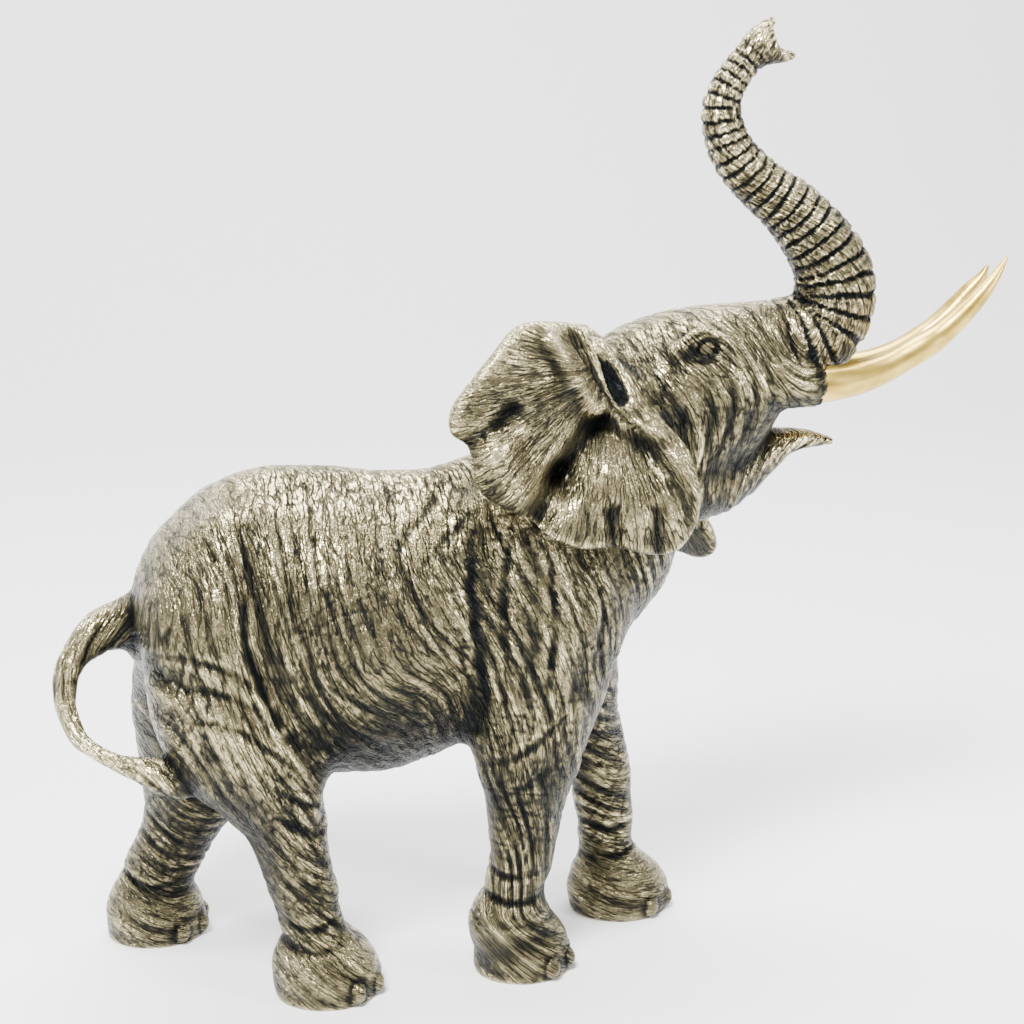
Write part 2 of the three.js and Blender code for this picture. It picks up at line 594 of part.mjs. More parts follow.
// One vertex in each grid cell that the surface crosses, one quad round each crossed edge.
function surfaceOf(field) {
  const [nx, ny, nz] = field.size;
  const { data, step, low } = field;
  const cellVertex = new Int32Array(nx * ny * nz).fill(-1);
  const strides = [ny * nz, nz, 1];
  const positions = [];
  const triangles = [];
  for (let i = 0; i < nx - 1; i += 1) {
    for (let j = 0; j < ny - 1; j += 1) {
      for (let k = 0; k < nz - 1; k += 1) {
        const base = field.index(i, j, k);
        const sum = [0, 0, 0];
        let crossings = 0;
        for (let axis = 0; axis < 3; axis += 1) {
          const [u, v] = [(axis + 1) % 3, (axis + 2) % 3];
          for (let corner = 0; corner < 4; corner += 1) {
            const offset = [0, 0, 0];
            offset[u] = corner & 1;
            offset[v] = corner >> 1;
            const n = base + offset[0] * strides[0] + offset[1] * strides[1] + offset[2];
            const [a, b] = [data[n], data[n + strides[axis]]];
            if ((a < 0) === (b < 0)) continue;
            offset[axis] = a / (a - b);
            sum[0] += offset[0];
            sum[1] += offset[1];
            sum[2] += offset[2];
            crossings += 1;
          }
        }
        if (crossings === 0) continue;
        cellVertex[base] = positions.length / 3;
        positions.push(
          low[0] + (i + sum[0] / crossings) * step,
          low[1] + (j + sum[1] / crossings) * step,
          low[2] + (k + sum[2] / crossings) * step,
        );
      }
    }
  }
  for (let i = 1; i < nx - 1; i += 1) {
    for (let j = 1; j < ny - 1; j += 1) {
      for (let k = 1; k < nz - 1; k += 1) {
        const n = field.index(i, j, k);
        for (let axis = 0; axis < 3; axis += 1) {
          const inside = data[n] < 0;
          if (inside === (data[n + strides[axis]] < 0)) continue;
          const [u, v] = [strides[(axis + 1) % 3], strides[(axis + 2) % 3]];
          const quad = [n - u - v, n - v, n, n - u].map((cell) => cellVertex[cell]);
          if (!inside) quad.reverse();
          triangles.push(quad[0], quad[1], quad[2], quad[0], quad[2], quad[3]);
        }
      }
    }
  }
  return { positions: Float64Array.from(positions), triangles: Int32Array.from(triangles) };
}

// A queue that gives back the cheapest entry first.
class Queue {
  constructor() {
    this.items = [];
  }

  push(item) {
    const { items } = this;
    let n = items.push(item) - 1;
    while (n > 0) {
      const parent = (n - 1) >> 1;
      if (items[parent].cost <= item.cost) break;
      items[n] = items[parent];
      n = parent;
    }
    items[n] = item;
  }

  pop() {
    const { items } = this;
    const top = items[0];
    const last = items.pop();
    if (items.length === 0) return top;
    let n = 0;
    for (;;) {
      let child = 2 * n + 1;
      if (child >= items.length) break;
      if (child + 1 < items.length && items[child + 1].cost < items[child].cost) child += 1;
      if (items[child].cost >= last.cost) break;
      items[n] = items[child];
      n = child;
    }
    items[n] = last;
    return top;
  }
}

// Merges edges, cheapest first, where the surface moves least from the planes it had.
// The surface stays closed: only edges with exactly two common neighbours are merged.
function thin({ positions, triangles }, target) {
  const count = positions.length / 3;
  const quadrics = new Float64Array(count * 10);
  const around = Array.from({ length: count }, () => []);
  const version = new Int32Array(count);
  const alive = new Uint8Array(triangles.length / 3).fill(1);
  const point = (v) => [positions[3 * v], positions[3 * v + 1], positions[3 * v + 2]];
  const cross = (p, q, r) => {
    const [ax, ay, az] = [q[0] - p[0], q[1] - p[1], q[2] - p[2]];
    const [bx, by, bz] = [r[0] - p[0], r[1] - p[1], r[2] - p[2]];
    return [ay * bz - az * by, az * bx - ax * bz, ax * by - ay * bx];
  };
  for (let f = 0; f < alive.length; f += 1) {
    const corners = [triangles[3 * f], triangles[3 * f + 1], triangles[3 * f + 2]];
    const [p, q, r] = corners.map(point);
    const n = cross(p, q, r);
    const area = Math.hypot(...n) + 1e-12;
    const weight = area * (1 + (HEAD_FINENESS - 1) * ramp(p[2], HEAD_LEVEL * PART, (HEAD_LEVEL + 4) * PART));
    const [a, b, c] = n.map((value) => value / area);
    const d = -(a * p[0] + b * p[1] + c * p[2]);
    const terms = [a * a, a * b, a * c, a * d, b * b, b * c, b * d, c * c, c * d, d * d];
    for (const v of corners) {
      around[v].push(f);
      for (let i = 0; i < 10; i += 1) quadrics[10 * v + i] += terms[i] * weight;
    }
  }
  const errorAt = (q, [x, y, z]) => (
    q[0] * x * x + 2 * q[1] * x * y + 2 * q[2] * x * z + 2 * q[3] * x + q[4] * y * y
    + 2 * q[5] * y * z + 2 * q[6] * y + q[7] * z * z + 2 * q[8] * z + q[9]
  );
  const offer = (queue, a, b) => {
    const q = new Float64Array(10);
    for (let i = 0; i < 10; i += 1) q[i] = quadrics[10 * a + i] + quadrics[10 * b + i];
    const [p, r] = [point(a), point(b)];
    const middle = [(p[0] + r[0]) / 2, (p[1] + r[1]) / 2, (p[2] + r[2]) / 2];
    const matrix = new THREE.Matrix3().set(q[0], q[1], q[2], q[1], q[4], q[5], q[2], q[5], q[7]);
    const trace = (q[0] + q[4] + q[7]) / 3;
    let place = middle;
    if (Math.abs(matrix.determinant()) > 1e-4 * trace ** 3) {
      const best = new THREE.Vector3(-q[3], -q[6], -q[8]).applyMatrix3(matrix.invert());
      const span = Math.hypot(p[0] - r[0], p[1] - r[1], p[2] - r[2]);
      if (best.distanceTo(new THREE.Vector3(...middle)) < span) place = best.toArray();
    }
    const length2 = (p[0] - r[0]) ** 2 + (p[1] - r[1]) ** 2 + (p[2] - r[2]) ** 2;
    const cost = Math.max(0, errorAt(q, place)) + 1e-4 * length2 * length2;
    queue.push({ cost, a, b, place, va: version[a], vb: version[b] });
  };
  const neighbours = (v) => {
    const found = new Set();
    for (const f of around[v]) for (let i = 0; i < 3; i += 1) found.add(triangles[3 * f + i]);
    found.delete(v);
    return found;
  };
  const flips = (v, other, place) => around[v].some((f) => {
    const corners = [triangles[3 * f], triangles[3 * f + 1], triangles[3 * f + 2]];
    if (corners.includes(other)) return false;
    const before = cross(...corners.map(point));
    const after = cross(...corners.map((c) => (c === v ? place : point(c))));
    const dot = before[0] * after[0] + before[1] * after[1] + before[2] * after[2];
    return dot < 0.25 * Math.hypot(...before) * Math.hypot(...after) || Math.hypot(...after) < 1e-3;
  });
  const queue = new Queue();
  for (let f = 0; f < alive.length; f += 1) {
    for (let i = 0; i < 3; i += 1) {
      const [a, b] = [triangles[3 * f + i], triangles[3 * f + (i + 1) % 3]];
      if (a < b) offer(queue, a, b);
    }
  }
  let left = alive.length;
  while (left > target && queue.items.length > 0) {
    const { a, b, place, va, vb } = queue.pop();
    if (va !== version[a] || vb !== version[b]) continue;
    const [roundA, roundB] = [neighbours(a), neighbours(b)];
    if ([...roundA].filter((v) => roundB.has(v)).length !== 2) continue;
    if (flips(a, b, place) || flips(b, a, place)) continue;
    for (let i = 0; i < 3; i += 1) positions[3 * a + i] = place[i];
    for (let i = 0; i < 10; i += 1) quadrics[10 * a + i] += quadrics[10 * b + i];
    for (const f of around[b]) {
      const corners = [0, 1, 2].map((i) => triangles[3 * f + i]);
      if (corners.includes(a)) {
        alive[f] = 0;
        left -= 1;
        for (const c of corners) if (c !== b) around[c] = around[c].filter((g) => g !== f);
      } else {
        triangles[3 * f + corners.indexOf(b)] = a;
        around[a].push(f);
      }
    }
    around[b] = [];
    version[b] = -1;
    version[a] += 1;
    for (const v of neighbours(a)) offer(queue, a, v);
  }
  const renumber = new Map();
  const outPositions = [];
  const outTriangles = [];
  for (let f = 0; f < alive.length; f += 1) {
    if (!alive[f]) continue;
    for (let i = 0; i < 3; i += 1) {
      const v = triangles[3 * f + i];
      if (!renumber.has(v)) {
        renumber.set(v, outPositions.length / 3);
        outPositions.push(...point(v));
      }
      outTriangles.push(renumber.get(v));
    }
  }
  return { positions: outPositions, triangles: outTriangles };
}

function geometryOf({ positions, triangles }) {
  const geometry = new THREE.BufferGeometry();
  geometry.setAttribute('position', new THREE.Float32BufferAttribute(positions, 3));
  geometry.setIndex([...triangles]);
  return geometry;
}

// A tusk as round sections along its curve, swollen by a clearance when it cuts its socket.
function tuskGeometry({ lip, free }, clearance) {
  const rows = scaled([lip, ...free]);
  const inward = new THREE.Vector3(...rows[0].slice(0, 3)).sub(new THREE.Vector3(...rows[1].slice(0, 3)));
  inward.normalize();
  const shank = new THREE.Vector3(...rows[0].slice(0, 3)).addScaledVector(inward, SOCKET_DEPTH + clearance);
  rows.unshift([...shank.toArray(), rows[0][3] * SHANK_TAPER]);
  const centre = new THREE.CatmullRomCurve3(rows.map(([x, y, z]) => new THREE.Vector3(x, y, z)));
  const girth = new THREE.CatmullRomCurve3(rows.map((row, i) => new THREE.Vector3(row[3], i, 0)));
  const frames = centre.computeFrenetFrames(TUSK_SECTIONS);
  const positions = [];
  const triangles = [];
  for (let i = 0; i <= TUSK_SECTIONS; i += 1) {
    const p = centre.getPointAt(i / TUSK_SECTIONS);
    const radius = girth.getPoint(centre.getUtoTmapping(i / TUSK_SECTIONS)).x + clearance;
    for (let s = 0; s < TUSK_SIDES; s += 1) {
      const turn = 2 * Math.PI * s / TUSK_SIDES;
      const rim = p.clone().addScaledVector(frames.normals[i], radius * Math.cos(turn))
        .addScaledVector(frames.binormals[i], radius * Math.sin(turn));
      positions.push(...rim.toArray());
      if (i === TUSK_SECTIONS) continue;
      const [a, b] = [i * TUSK_SIDES + s, i * TUSK_SIDES + (s + 1) % TUSK_SIDES];
      triangles.push(a, b, b + TUSK_SIDES, a, b + TUSK_SIDES, a + TUSK_SIDES);
    }
  }
  const [start, end] = [positions.length / 3, positions.length / 3 + 1];
  positions.push(...centre.getPointAt(0).toArray(), ...centre.getPointAt(1).toArray());
  const last = TUSK_SECTIONS * TUSK_SIDES;
  for (let s = 0; s < TUSK_SIDES; s += 1) {
    const next = (s + 1) % TUSK_SIDES;
    triangles.push(start, next, s, end, last + s, last + next);
  }
  return geometryOf({ positions, triangles });
}

const wasm = await Module();
wasm.setup();
const { Manifold, Mesh: ManifoldMesh } = wasm;

function toManifold(geometry) {
  return new Manifold(new ManifoldMesh({
    numProp: 3,
    vertProperties: Float32Array.from(geometry.attributes.position.array),
    triVerts: Uint32Array.from(geometry.index.array),
  }));
}

function fromManifold(solid) {
  const { vertProperties, triVerts, numProp } = solid.getMesh();
  const positions = [];
  for (let i = 0; i < vertProperties.length; i += numProp) {
    positions.push(vertProperties[i], vertProperties[i + 1], vertProperties[i + 2]);
  }
  return geometryOf({ positions, triangles: triVerts });
}

// The casting: the sampled form, trimmed flat at the soles and bored for the tusks.
function castingGeometry() {
  const field = new Field(GRID);
  addTrunkAndBody(field);
  addFace(field);
  addLegs(field);
  addEars(field);
  cutHollows(field);
  field.sample();
  cutTrunkRings(field);
  cutFolds(field);
  untangle(field);
  const form = toManifold(geometryOf(thin(surfaceOf(field), BODY_FACES)));
  const ground = new THREE.BoxGeometry(2 * HEIGHT, 2 * HEIGHT, HEIGHT).translate(0, 0, -HEIGHT / 2);
  ground.deleteAttribute('normal');
  ground.deleteAttribute('uv');
  return TUSKS.reduce(
    (solid, tusk) => solid.subtract(toManifold(tuskGeometry(tusk, TUSK_GAP))),
    form.subtract(toManifold(mergeVertices(ground))),
  );
}

const figurine = new THREE.Group();
const casting = new THREE.Mesh(fromManifold(castingGeometry()), new THREE.MeshStandardMaterial(PATINA));
casting.name = 'elephant_body';
figurine.add(casting);
for (const tusk of TUSKS) {
  const mesh = new THREE.Mesh(tuskGeometry(tusk, 0), new THREE.MeshStandardMaterial(GILT));
  mesh.name = tusk.name;
  figurine.add(mesh);
}

// The origin is the middle of the figurine's bounding box, on the ground.
const extent = new THREE.Box3().setFromObject(figurine);
const middle = extent.getCenter(new THREE.Vector3());
figurine.position.set(-middle.x, -middle.y, -extent.min.z);

export default figurine;
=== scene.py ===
# %% [markdown]
# # An elephant figurine in patinated bronze finish
#
# The figurine is one casting of a walking elephant with its trunk raised, and two gilt tusks
# let into sockets. The casting is built the way a sculptor works: a soft form first, then
# ears and face, then the deep folds, and at last the skin. The form is a field of distances
# sampled on a grid, the same one that the solid has; the skin is carved where the surface
# is drawn from that field, with wrinkles that follow the flow of the hide.
#
# Lengths are in metres in Blender. The tables of the form are in hundredths of the height.

# %% The frame
import math

import bpy
import numpy as np
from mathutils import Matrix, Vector


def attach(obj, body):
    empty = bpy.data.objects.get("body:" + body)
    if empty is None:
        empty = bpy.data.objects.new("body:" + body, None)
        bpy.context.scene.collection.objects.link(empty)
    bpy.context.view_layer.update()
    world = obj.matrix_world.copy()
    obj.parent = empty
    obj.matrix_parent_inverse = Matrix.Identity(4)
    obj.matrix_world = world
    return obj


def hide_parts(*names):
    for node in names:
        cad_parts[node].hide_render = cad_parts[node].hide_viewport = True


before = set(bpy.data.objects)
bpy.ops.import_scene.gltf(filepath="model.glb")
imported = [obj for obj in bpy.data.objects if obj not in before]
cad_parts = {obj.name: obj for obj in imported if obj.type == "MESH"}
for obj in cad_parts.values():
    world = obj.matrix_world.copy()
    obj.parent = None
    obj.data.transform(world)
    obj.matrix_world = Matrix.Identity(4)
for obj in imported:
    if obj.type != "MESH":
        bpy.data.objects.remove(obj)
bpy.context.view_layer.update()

HEIGHT = 0.300  # soles to the tip of the raised trunk
PART = HEIGHT / 100
GRID = 0.00095  # spacing of the sampling grid
FACES = 195000  # most triangles on the casting
GAP = 0.0003  # clearance round a tusk in its socket
EAR_WALL = 0.0044

# %% [markdown]
# ## The form in numbers
#
# A station is x, y, z and a radius, in hundredths of the height; y below zero is the
# elephant's right side, the one that the camera sees.

# %% Stations of the body, head and limbs
TORSO = [
    (-36, 0, 38, 3.9), (-32, 0, 39.4, 6.9), (-27.2, 0, 40.6, 11.3),
    (-21.4, 0, 38.8, 14.9), (-15, 0, 37.2, 15.5), (-8.4, 0, 39.1, 13.7),
    (-2.2, 0, 41.4, 12), (3.2, 0, 43, 11.2), (8.2, 0, 45, 9.9),
]
NECK = [(4.6, 0, 45.3, 10.2), (9.4, 0, 51.1, 9.8), (14.2, 0, 57.2, 8.7), (17.7, 0, 60.7, 8.1)]
SPINE = [
    (-34.5, 0, 43.9, 1.4), (-30.3, 0, 49.3, 1.9), (-25.1, 0, 52.2, 2),
    (-17, 0, 52, 1.8), (-8.7, 0, 51.6, 1.7), (-2.3, 0, 53.2, 1.7),
]
SHOULDER = [(-0.5, 7.4, 50.5, 3.7), (2.1, 8.6, 45.9, 4.5), (4.1, 9, 39.6, 4.4)]
HIP = [(-28.5, 6, 47.5, 4), (-30.8, 5.7, 41.8, 5.1)]
TRUNK = [
    (23.8, 0, 64.6, 5.7), (28.1, 0, 65.6, 5.3), (31.9, 0, 66.6, 4.9), (34.4, 0, 68, 4.5),
    (35.5, 0, 70.7, 4.4), (35.4, 0, 73.1, 4.3), (34.6, 0, 75.3, 4), (32.6, 0, 78.1, 3.6),
    (30.2, 0, 80.6, 3.2), (28.1, 0, 82.2, 2.9), (26, 0, 84, 2.7), (24.2, 0, 86.1, 2.5),
    (23.2, 0, 88.3, 2.3), (22.8, 0, 90.6, 2.1), (23.3, 0, 92.6, 1.9), (24.4, 0, 94.4, 1.8),
    (25.7, 0, 96, 1.7), (26.9, 0, 97.1, 1.7),
]
UPPER_FINGER = [(26.7, 0, 97.4, 1.5), (27.5, 0, 98.8, 0.9), (28.1, 0, 99.8, 0.3)]
LOWER_FINGER = [(27.2, 0, 96.6, 1.5), (28.8, 0, 96.2, 1), (30, 0, 96, 0.5)]
NOSTRIL = (29.3, 0, 97.9)
JAW = [
    (19.2, 0, 52.5, 5.3), (23.5, 0, 52.5, 3.8), (27.2, 0, 54.2, 2.4),
    (30.9, 0, 55.8, 1.4), (33.9, 0, 55.8, 0.9), (35.7, 0, 55.6, 0.4),
]
MOUTH = [(27.6, 0, 58, 0.5), (30.8, 0, 58.7, 1), (33.5, 0, 58.7, 1.2), (36.1, 0, 59, 1.5)]
CHEEK = [(19.4, 4, 57.2, 4.4), (22.9, 4, 58, 3), (25.6, 3.7, 59, 1.6)]
CHEEKBONE = [(13.2, 6.5, 61.8, 2.2), (18.4, 6.5, 62.5, 2), (24.1, 5.1, 62.1, 2.1)]
BROW = [(16.9, 6.6, 66.7, 0.6), (19.6, 6.7, 68.6, 0.7), (22.5, 6, 67.2, 0.6)]
EYE = (20.1, 6.6, 67.1)
LID = [(18.3, 6.6, 66.7, 0.3), (19.3, 7.1, 67.7, 0.4), (20.4, 7.1, 68, 0.4), (21.9, 6.6, 67, 0.3)]
SHEATHS = [
    [(23.9, -4, 62.6, 3.1), (28.5, -4.6, 62.9, 2.8), (31.8, -4.7, 62.6, 2.4)],
    [(24.9, 4, 62.7, 3.2), (30, 4.6, 63.1, 2.9), (33, 4.7, 62.9, 2.4)],
]
TAIL = [
    (-39.2, 0, 38.8, 2.7), (-42.1, -0.7, 38, 2.3), (-44.2, -1.7, 36.5, 1.7), (-45.5, -2.7, 34.5, 1.5),
    (-45.9, -3.7, 32.3, 1.3), (-45.5, -4.7, 30.2, 1.1), (-44.4, -6.1, 28.2, 1), (-42.4, -7.4, 27, 0.9),
    (-40.2, -8.8, 26.3, 1), (-38.1, -9.8, 25.9, 1.4), (-35.9, -10.1, 25.1, 1.8), (-34.3, -10.1, 23.8, 1),
]
LEGS = {
    "right_hind": dict(
        stations=[
            (-29.5, -5.3, 38.6, 7.5), (-30, -6.8, 33.1, 7.5), (-28.3, -7.8, 28.5, 7.5), (-26, -8.3, 25, 6.4),
            (-24.6, -8.4, 21.5, 5), (-23.8, -8.6, 18.9, 4.3), (-23, -8.8, 14.8, 3.7), (-22, -8.8, 10.5, 3.5),
            (-21.3, -8.8, 7.3, 3.4), (-20.7, -8.8, 4.2, 4),
        ],
        joint=[(-22.4, -10.1, 25.8, 2.6), (-21.8, -10.1, 23, 2.2)],
        heel=(-22.4, -8.6, 3.4, 3.2), foot=(-19.9, -8.4, 5.6, 5.7), blend=6.7,
    ),
    "left_hind": dict(
        stations=[
            (-29.3, 5.3, 36, 7.8), (-31.5, 6.7, 28.9, 8), (-32.2, 7.8, 22.9, 6.8), (-33.3, 8.8, 17.3, 5.4),
            (-34.9, 9.1, 12.3, 4.2), (-36.5, 9.3, 8.9, 4), (-37.9, 9.4, 5.9, 3.9), (-37.8, 9.4, 3.2, 4.5),
        ],
        joint=[(-28.6, 9, 23.6, 2.4), (-29, 9, 20.4, 2)],
        heel=(-39.7, 9.4, 3.6, 3), foot=(-37.7, 9.9, 5.6, 5.4), blend=6.7,
    ),
    "right_fore": dict(
        stations=[
            (4.9, -5.1, 41.7, 7.7), (3.5, -6.7, 36.8, 7.7), (2.5, -7.6, 31.7, 6.9), (1.5, -7.8, 25.8, 5.8),
            (1.3, -7.8, 20.8, 4.4), (1.1, -7.4, 16.2, 3.8), (0.8, -7.1, 12.7, 3.5), (0.2, -6.9, 9.5, 3.3),
            (0, -6.7, 6.4, 4.1),
        ],
        joint=[(-1.3, -8.8, 27.4, 2.7), (-1.6, -8.8, 24.1, 1.7)],
        heel=(-1.4, -6.4, 5.2, 3.4), foot=(1.2, -5.7, 5.3, 5.7), blend=5,
    ),
    "left_fore": dict(
        stations=[
            (6.7, 5.1, 38.9, 6.8), (7.7, 6.7, 31.5, 6.2), (9.8, 7.9, 24.1, 4.7), (12.1, 8.3, 17.9, 3.7),
            (13, 8.4, 11.5, 3.3), (13.3, 8.4, 7.4, 3.1), (14.1, 8.4, 4.2, 3.9),
        ],
        joint=[(7.2, 9.2, 25.6, 2.4), (7.8, 9.2, 22.4, 1.6)],
        heel=(12.3, 8.6, 3.8, 3), foot=(14.8, 8.9, 5.8, 5.1), blend=5,
    ),
}
FOOT_CENTRE = 1.7
TOE_ANGLES = (-58, -20, 18, 56)
TOENAIL = 0.0036 / PART
NAIL_SHAPE = (0.75, 0.85, 1)  # half length, half width and half height, in toenails

# %% [markdown]
# The ears are sheets over a plane: an outline, a root line from which the sheet flares out,
# and swells and valleys as (from, to, half width, rise).

# %% The ears
EARS = [
    dict(
        origin=(0, -9.4, 0), along=(1, 0, 0), across=(0, 0, 1),
        outline=[
            (6.8, 69.8), (2.5, 70.8), (-0.8, 70.4), (-3.5, 67.8), (-5.6, 65.3), (-7.3, 62.8), (-7.3, 60.4),
            (-5.5, 58.9), (-5.2, 56), (-3.9, 54), (-1.8, 52.8), (0.5, 51.5), (2.6, 49.6), (5.5, 48.3),
            (8.3, 48.3), (10.9, 48), (13.5, 47.3), (16, 48.3), (17.7, 51.1), (17.8, 53.9), (17, 57.6),
            (14.6, 60.5), (11.7, 62.6), (9.9, 63.5), (8.9, 65.9),
        ],
        root=[(6.8, 69.6), (11.7, 62)], flare=(8.8, 5, 0.3),
        relief=[
            ((3.4, 69.2), (7.4, 62), 1.2, 1.3),
            ((7.6, 61.7), (13.5, 59.8), 1.3, 1.2),
            ((13.5, 59.8), (17.2, 55), 1.5, 1.1),
            ((-1.1, 66.1), (2, 65.8), 4, 1.6),
            ((-6.2, 58.8), (-1.2, 62.2), 1.1, -1.3),
            ((-3.2, 59.4), (-1.4, 54.6), 2.4, 1.7),
            ((8.1, 60.2), (4.1, 55.3), 1.5, -2.2),
            ((4.1, 55.3), (1.6, 51.6), 1.5, -1.9),
            ((9, 56.2), (12, 52.2), 3.3, 1.7),
            ((8.8, 51.8), (8.9, 47.8), 0.9, -0.8),
            ((13.2, 52), (13.4, 47.6), 0.9, -0.7),
            ((15.1, 56.9), (15.5, 50.7), 2, 0.6),
        ],
        fill=[(8.2, -6.1, 66.4, 2), (9.5, -7.6, 63.7, 2.4), (12.7, -8.2, 60.3, 2.2)],
    ),
    dict(
        origin=(10, 7.1, 65.2), along=(0.54, 0.17, -0.82), across=(-0.5, 0.74, -0.42),
        outline=[
            (-1.3, -0.7), (-2, 4), (0.7, 9.4), (6.1, 13.5), (11.5, 14.2), (17.5, 13.1), (23.6, 10.5),
            (28.2, 6.1), (30.6, 1.7), (28.2, -1.3), (20.9, -2), (12.1, -1.7), (5.1, -2),
        ],
        root=[(0, -1), (24, -1)], flare=(12, 1.4, 0),
        relief=[
            ((4, 4), (5, 12.5), 1.7, 0.9), ((8.2, 3), (9.5, 14), 1.4, -0.8), ((13, 3), (14, 13), 2.2, 1),
            ((18.4, 3), (19.5, 12), 1.4, -0.8), ((23.5, 2), (25, 8), 2, 0.8),
        ],
        fill=[(9.4, 6.1, 66, 1.9), (12.4, 6.9, 62.5, 2.4), (15, 7.4, 58, 2)],
    ),
]
EAR_CANAL = [
    (8.4, -10, 67.8, 0.7), (9.4, -9.9, 66.6, 1.2), (10.1, -10.2, 64.6, 1.2), (10.5, -10.8, 62.8, 0.7),
]

# %% [markdown]
# ## The field
#
# Each form is a distance function. A soft minimum joins it to what is there, and the same
# minimum with the signs turned cuts it away.

# %% Distances
def spline(points, per_span, closed=False):
    """Points along a Catmull-Rom spline, any number of values to a point."""
    p = np.asarray(points, float)
    n = len(p)
    if closed:
        pads = np.vstack([p[-1], p, p[0], p[1]])
        spans = n
    else:
        pads = np.vstack([2 * p[0] - p[1], p, 2 * p[-1] - p[-2]])
        spans = n - 1
    out = []
    for i in range(spans):
        a, b, c, d = pads[i:i + 4]
        for t in np.arange(per_span) / per_span:
            out.append(0.5 * (2 * b + (c - a) * t + (2 * a - 5 * b + 4 * c - d) * t ** 2
                              + (3 * b - a - 3 * c + d) * t ** 3))
    if not closed:
        out.append(p[-1])
    return np.array(out)


def soft_min(a, b, k):
    if k <= 0:
        return np.minimum(a, b)
    near = np.maximum(k - np.abs(a - b), 0) / k
    return np.minimum(a, b) - near ** 3 * k / 6


def segment_distance(a, b, p, q):
    e = (q[0] - p[0], q[1] - p[1])
    t = np.clip(((a - p[0]) * e[0] + (b - p[1]) * e[1]) / (e[0] ** 2 + e[1] ** 2 + 1e-9), 0, 1)
    return np.hypot(a - p[0] - t * e[0], b - p[1] - t * e[1])


def ramp(value, start, end):
    t = np.clip((value - start) / (end - start), 0, 1)
    return t * t * (3 - 2 * t)


# %% [markdown]
# ## A grid of distances
#
# Each form is worked out only in its own window of the grid, which keeps the script quick.

# %% Field and round forms
class Field:
    """Distances on a grid, in hundredths of the height."""

    def __init__(self, low, high, step):
        self.low, self.step = np.array(low, float), step
        self.count = np.ceil((np.array(high) - self.low) / step).astype(int) + 1
        self.data = np.full(self.count, 10.0, np.float32)

    def window(self, low, high):
        first = np.clip(np.floor((np.array(low) - self.low) / self.step).astype(int), 0, self.count)
        last = np.clip(np.ceil((np.array(high) - self.low) / self.step).astype(int) + 1, 0, self.count)
        axes = [(self.low[i] + self.step * np.arange(first[i], last[i])).astype(np.float32) for i in range(3)]
        where = tuple(slice(first[i], last[i]) for i in range(3))
        return where, axes[0][:, None, None], axes[1][None, :, None], axes[2][None, None, :]

    def join(self, form, k, cut=False):
        low, high, distance = form
        where, x, y, z = self.window(np.array(low) - k - 2, np.array(high) + k + 2)
        sign = -1 if cut else 1
        self.data[where] = sign * soft_min(sign * self.data[where], distance(x, y, z), k)


def limb(stations, per_span=4, width=1.0, grow=0.0):
    """A chain of tapered round links along a spline."""
    p = spline(stations, per_span).astype(np.float32)
    p[:, 3] = np.maximum(p[:, 3], 0.1) + grow

    def distance(x, y, z):
        best = None
        for a, b in zip(p[:-1], p[1:]):
            e = (b[0] - a[0], (b[1] - a[1]) / width, b[2] - a[2])
            dx, dy, dz = x - a[0], (y - a[1]) / width, z - a[2]
            t = np.clip((dx * e[0] + dy * e[1] + dz * e[2]) / (sum(v * v for v in e) + 1e-9), 0, 1)
            d = np.sqrt((dx - t * e[0]) ** 2 + (dy - t * e[1]) ** 2 + (dz - t * e[2]) ** 2)
            d = d - a[3] - t * (b[3] - a[3])
            best = d if best is None else np.minimum(best, d)
        return best * min(1, (1 + width) / 2)

    reach = p[:, 3:4] * [1, width, 1]
    return (p[:, :3] - reach).min(0), (p[:, :3] + reach).max(0), distance


def ball(centre, radii):
    c, r = np.array(centre, float), np.array(radii, float)

    def distance(x, y, z):
        q = [(x - c[0]) / r[0], (y - c[1]) / r[1], (z - c[2]) / r[2]]
        k0 = np.sqrt(q[0] ** 2 + q[1] ** 2 + q[2] ** 2) + 1e-6
        k1 = np.sqrt((q[0] / r[0]) ** 2 + (q[1] / r[1]) ** 2 + (q[2] / r[2]) ** 2) + 1e-6
        return k0 * (k0 - 1) / k1

    return c - r, c + r, distance


# %% [markdown]
# ## The ear as a sheet
#
# An ear is thin and bent, so it is the distance to a wavy sheet inside an outline.

# %% Ear sheets
def ear_axes(ear):
    along = np.array(ear["along"], float)
    along /= np.linalg.norm(along)
    across = np.array(ear["across"], float)
    across -= along * (along @ across)
    across /= np.linalg.norm(across)
    return np.array(ear["origin"], float), along, across, np.cross(along, across)


def ear_crest(ear, a, b):
    """How far the middle of the ear's wall stands from its plane."""
    reach, rise, start = ear["flare"]
    height = start + rise * (1 - np.exp(-(segment_distance(a, b, *ear["root"]) / reach) ** 2))
    for p, q, width, swell in ear["relief"]:
        height = height + swell * np.exp(-(segment_distance(a, b, p, q) / width) ** 2)
    return height


def outline_distance(a, b, rim):
    """Distance in a plane to a closed outline, below zero inside."""
    edge, inside = None, None
    for p, q in zip(rim, np.roll(rim, -1, axis=0)):
        d = segment_distance(a, b, p, q)
        edge = d if edge is None else np.minimum(edge, d)
        crosses = ((p[1] > b) != (q[1] > b)) & (a < (q[0] - p[0]) * (b - p[1]) / (q[1] - p[1] + 1e-12) + p[0])
        inside = crosses if inside is None else inside ^ crosses
    return np.where(inside, -edge, edge)


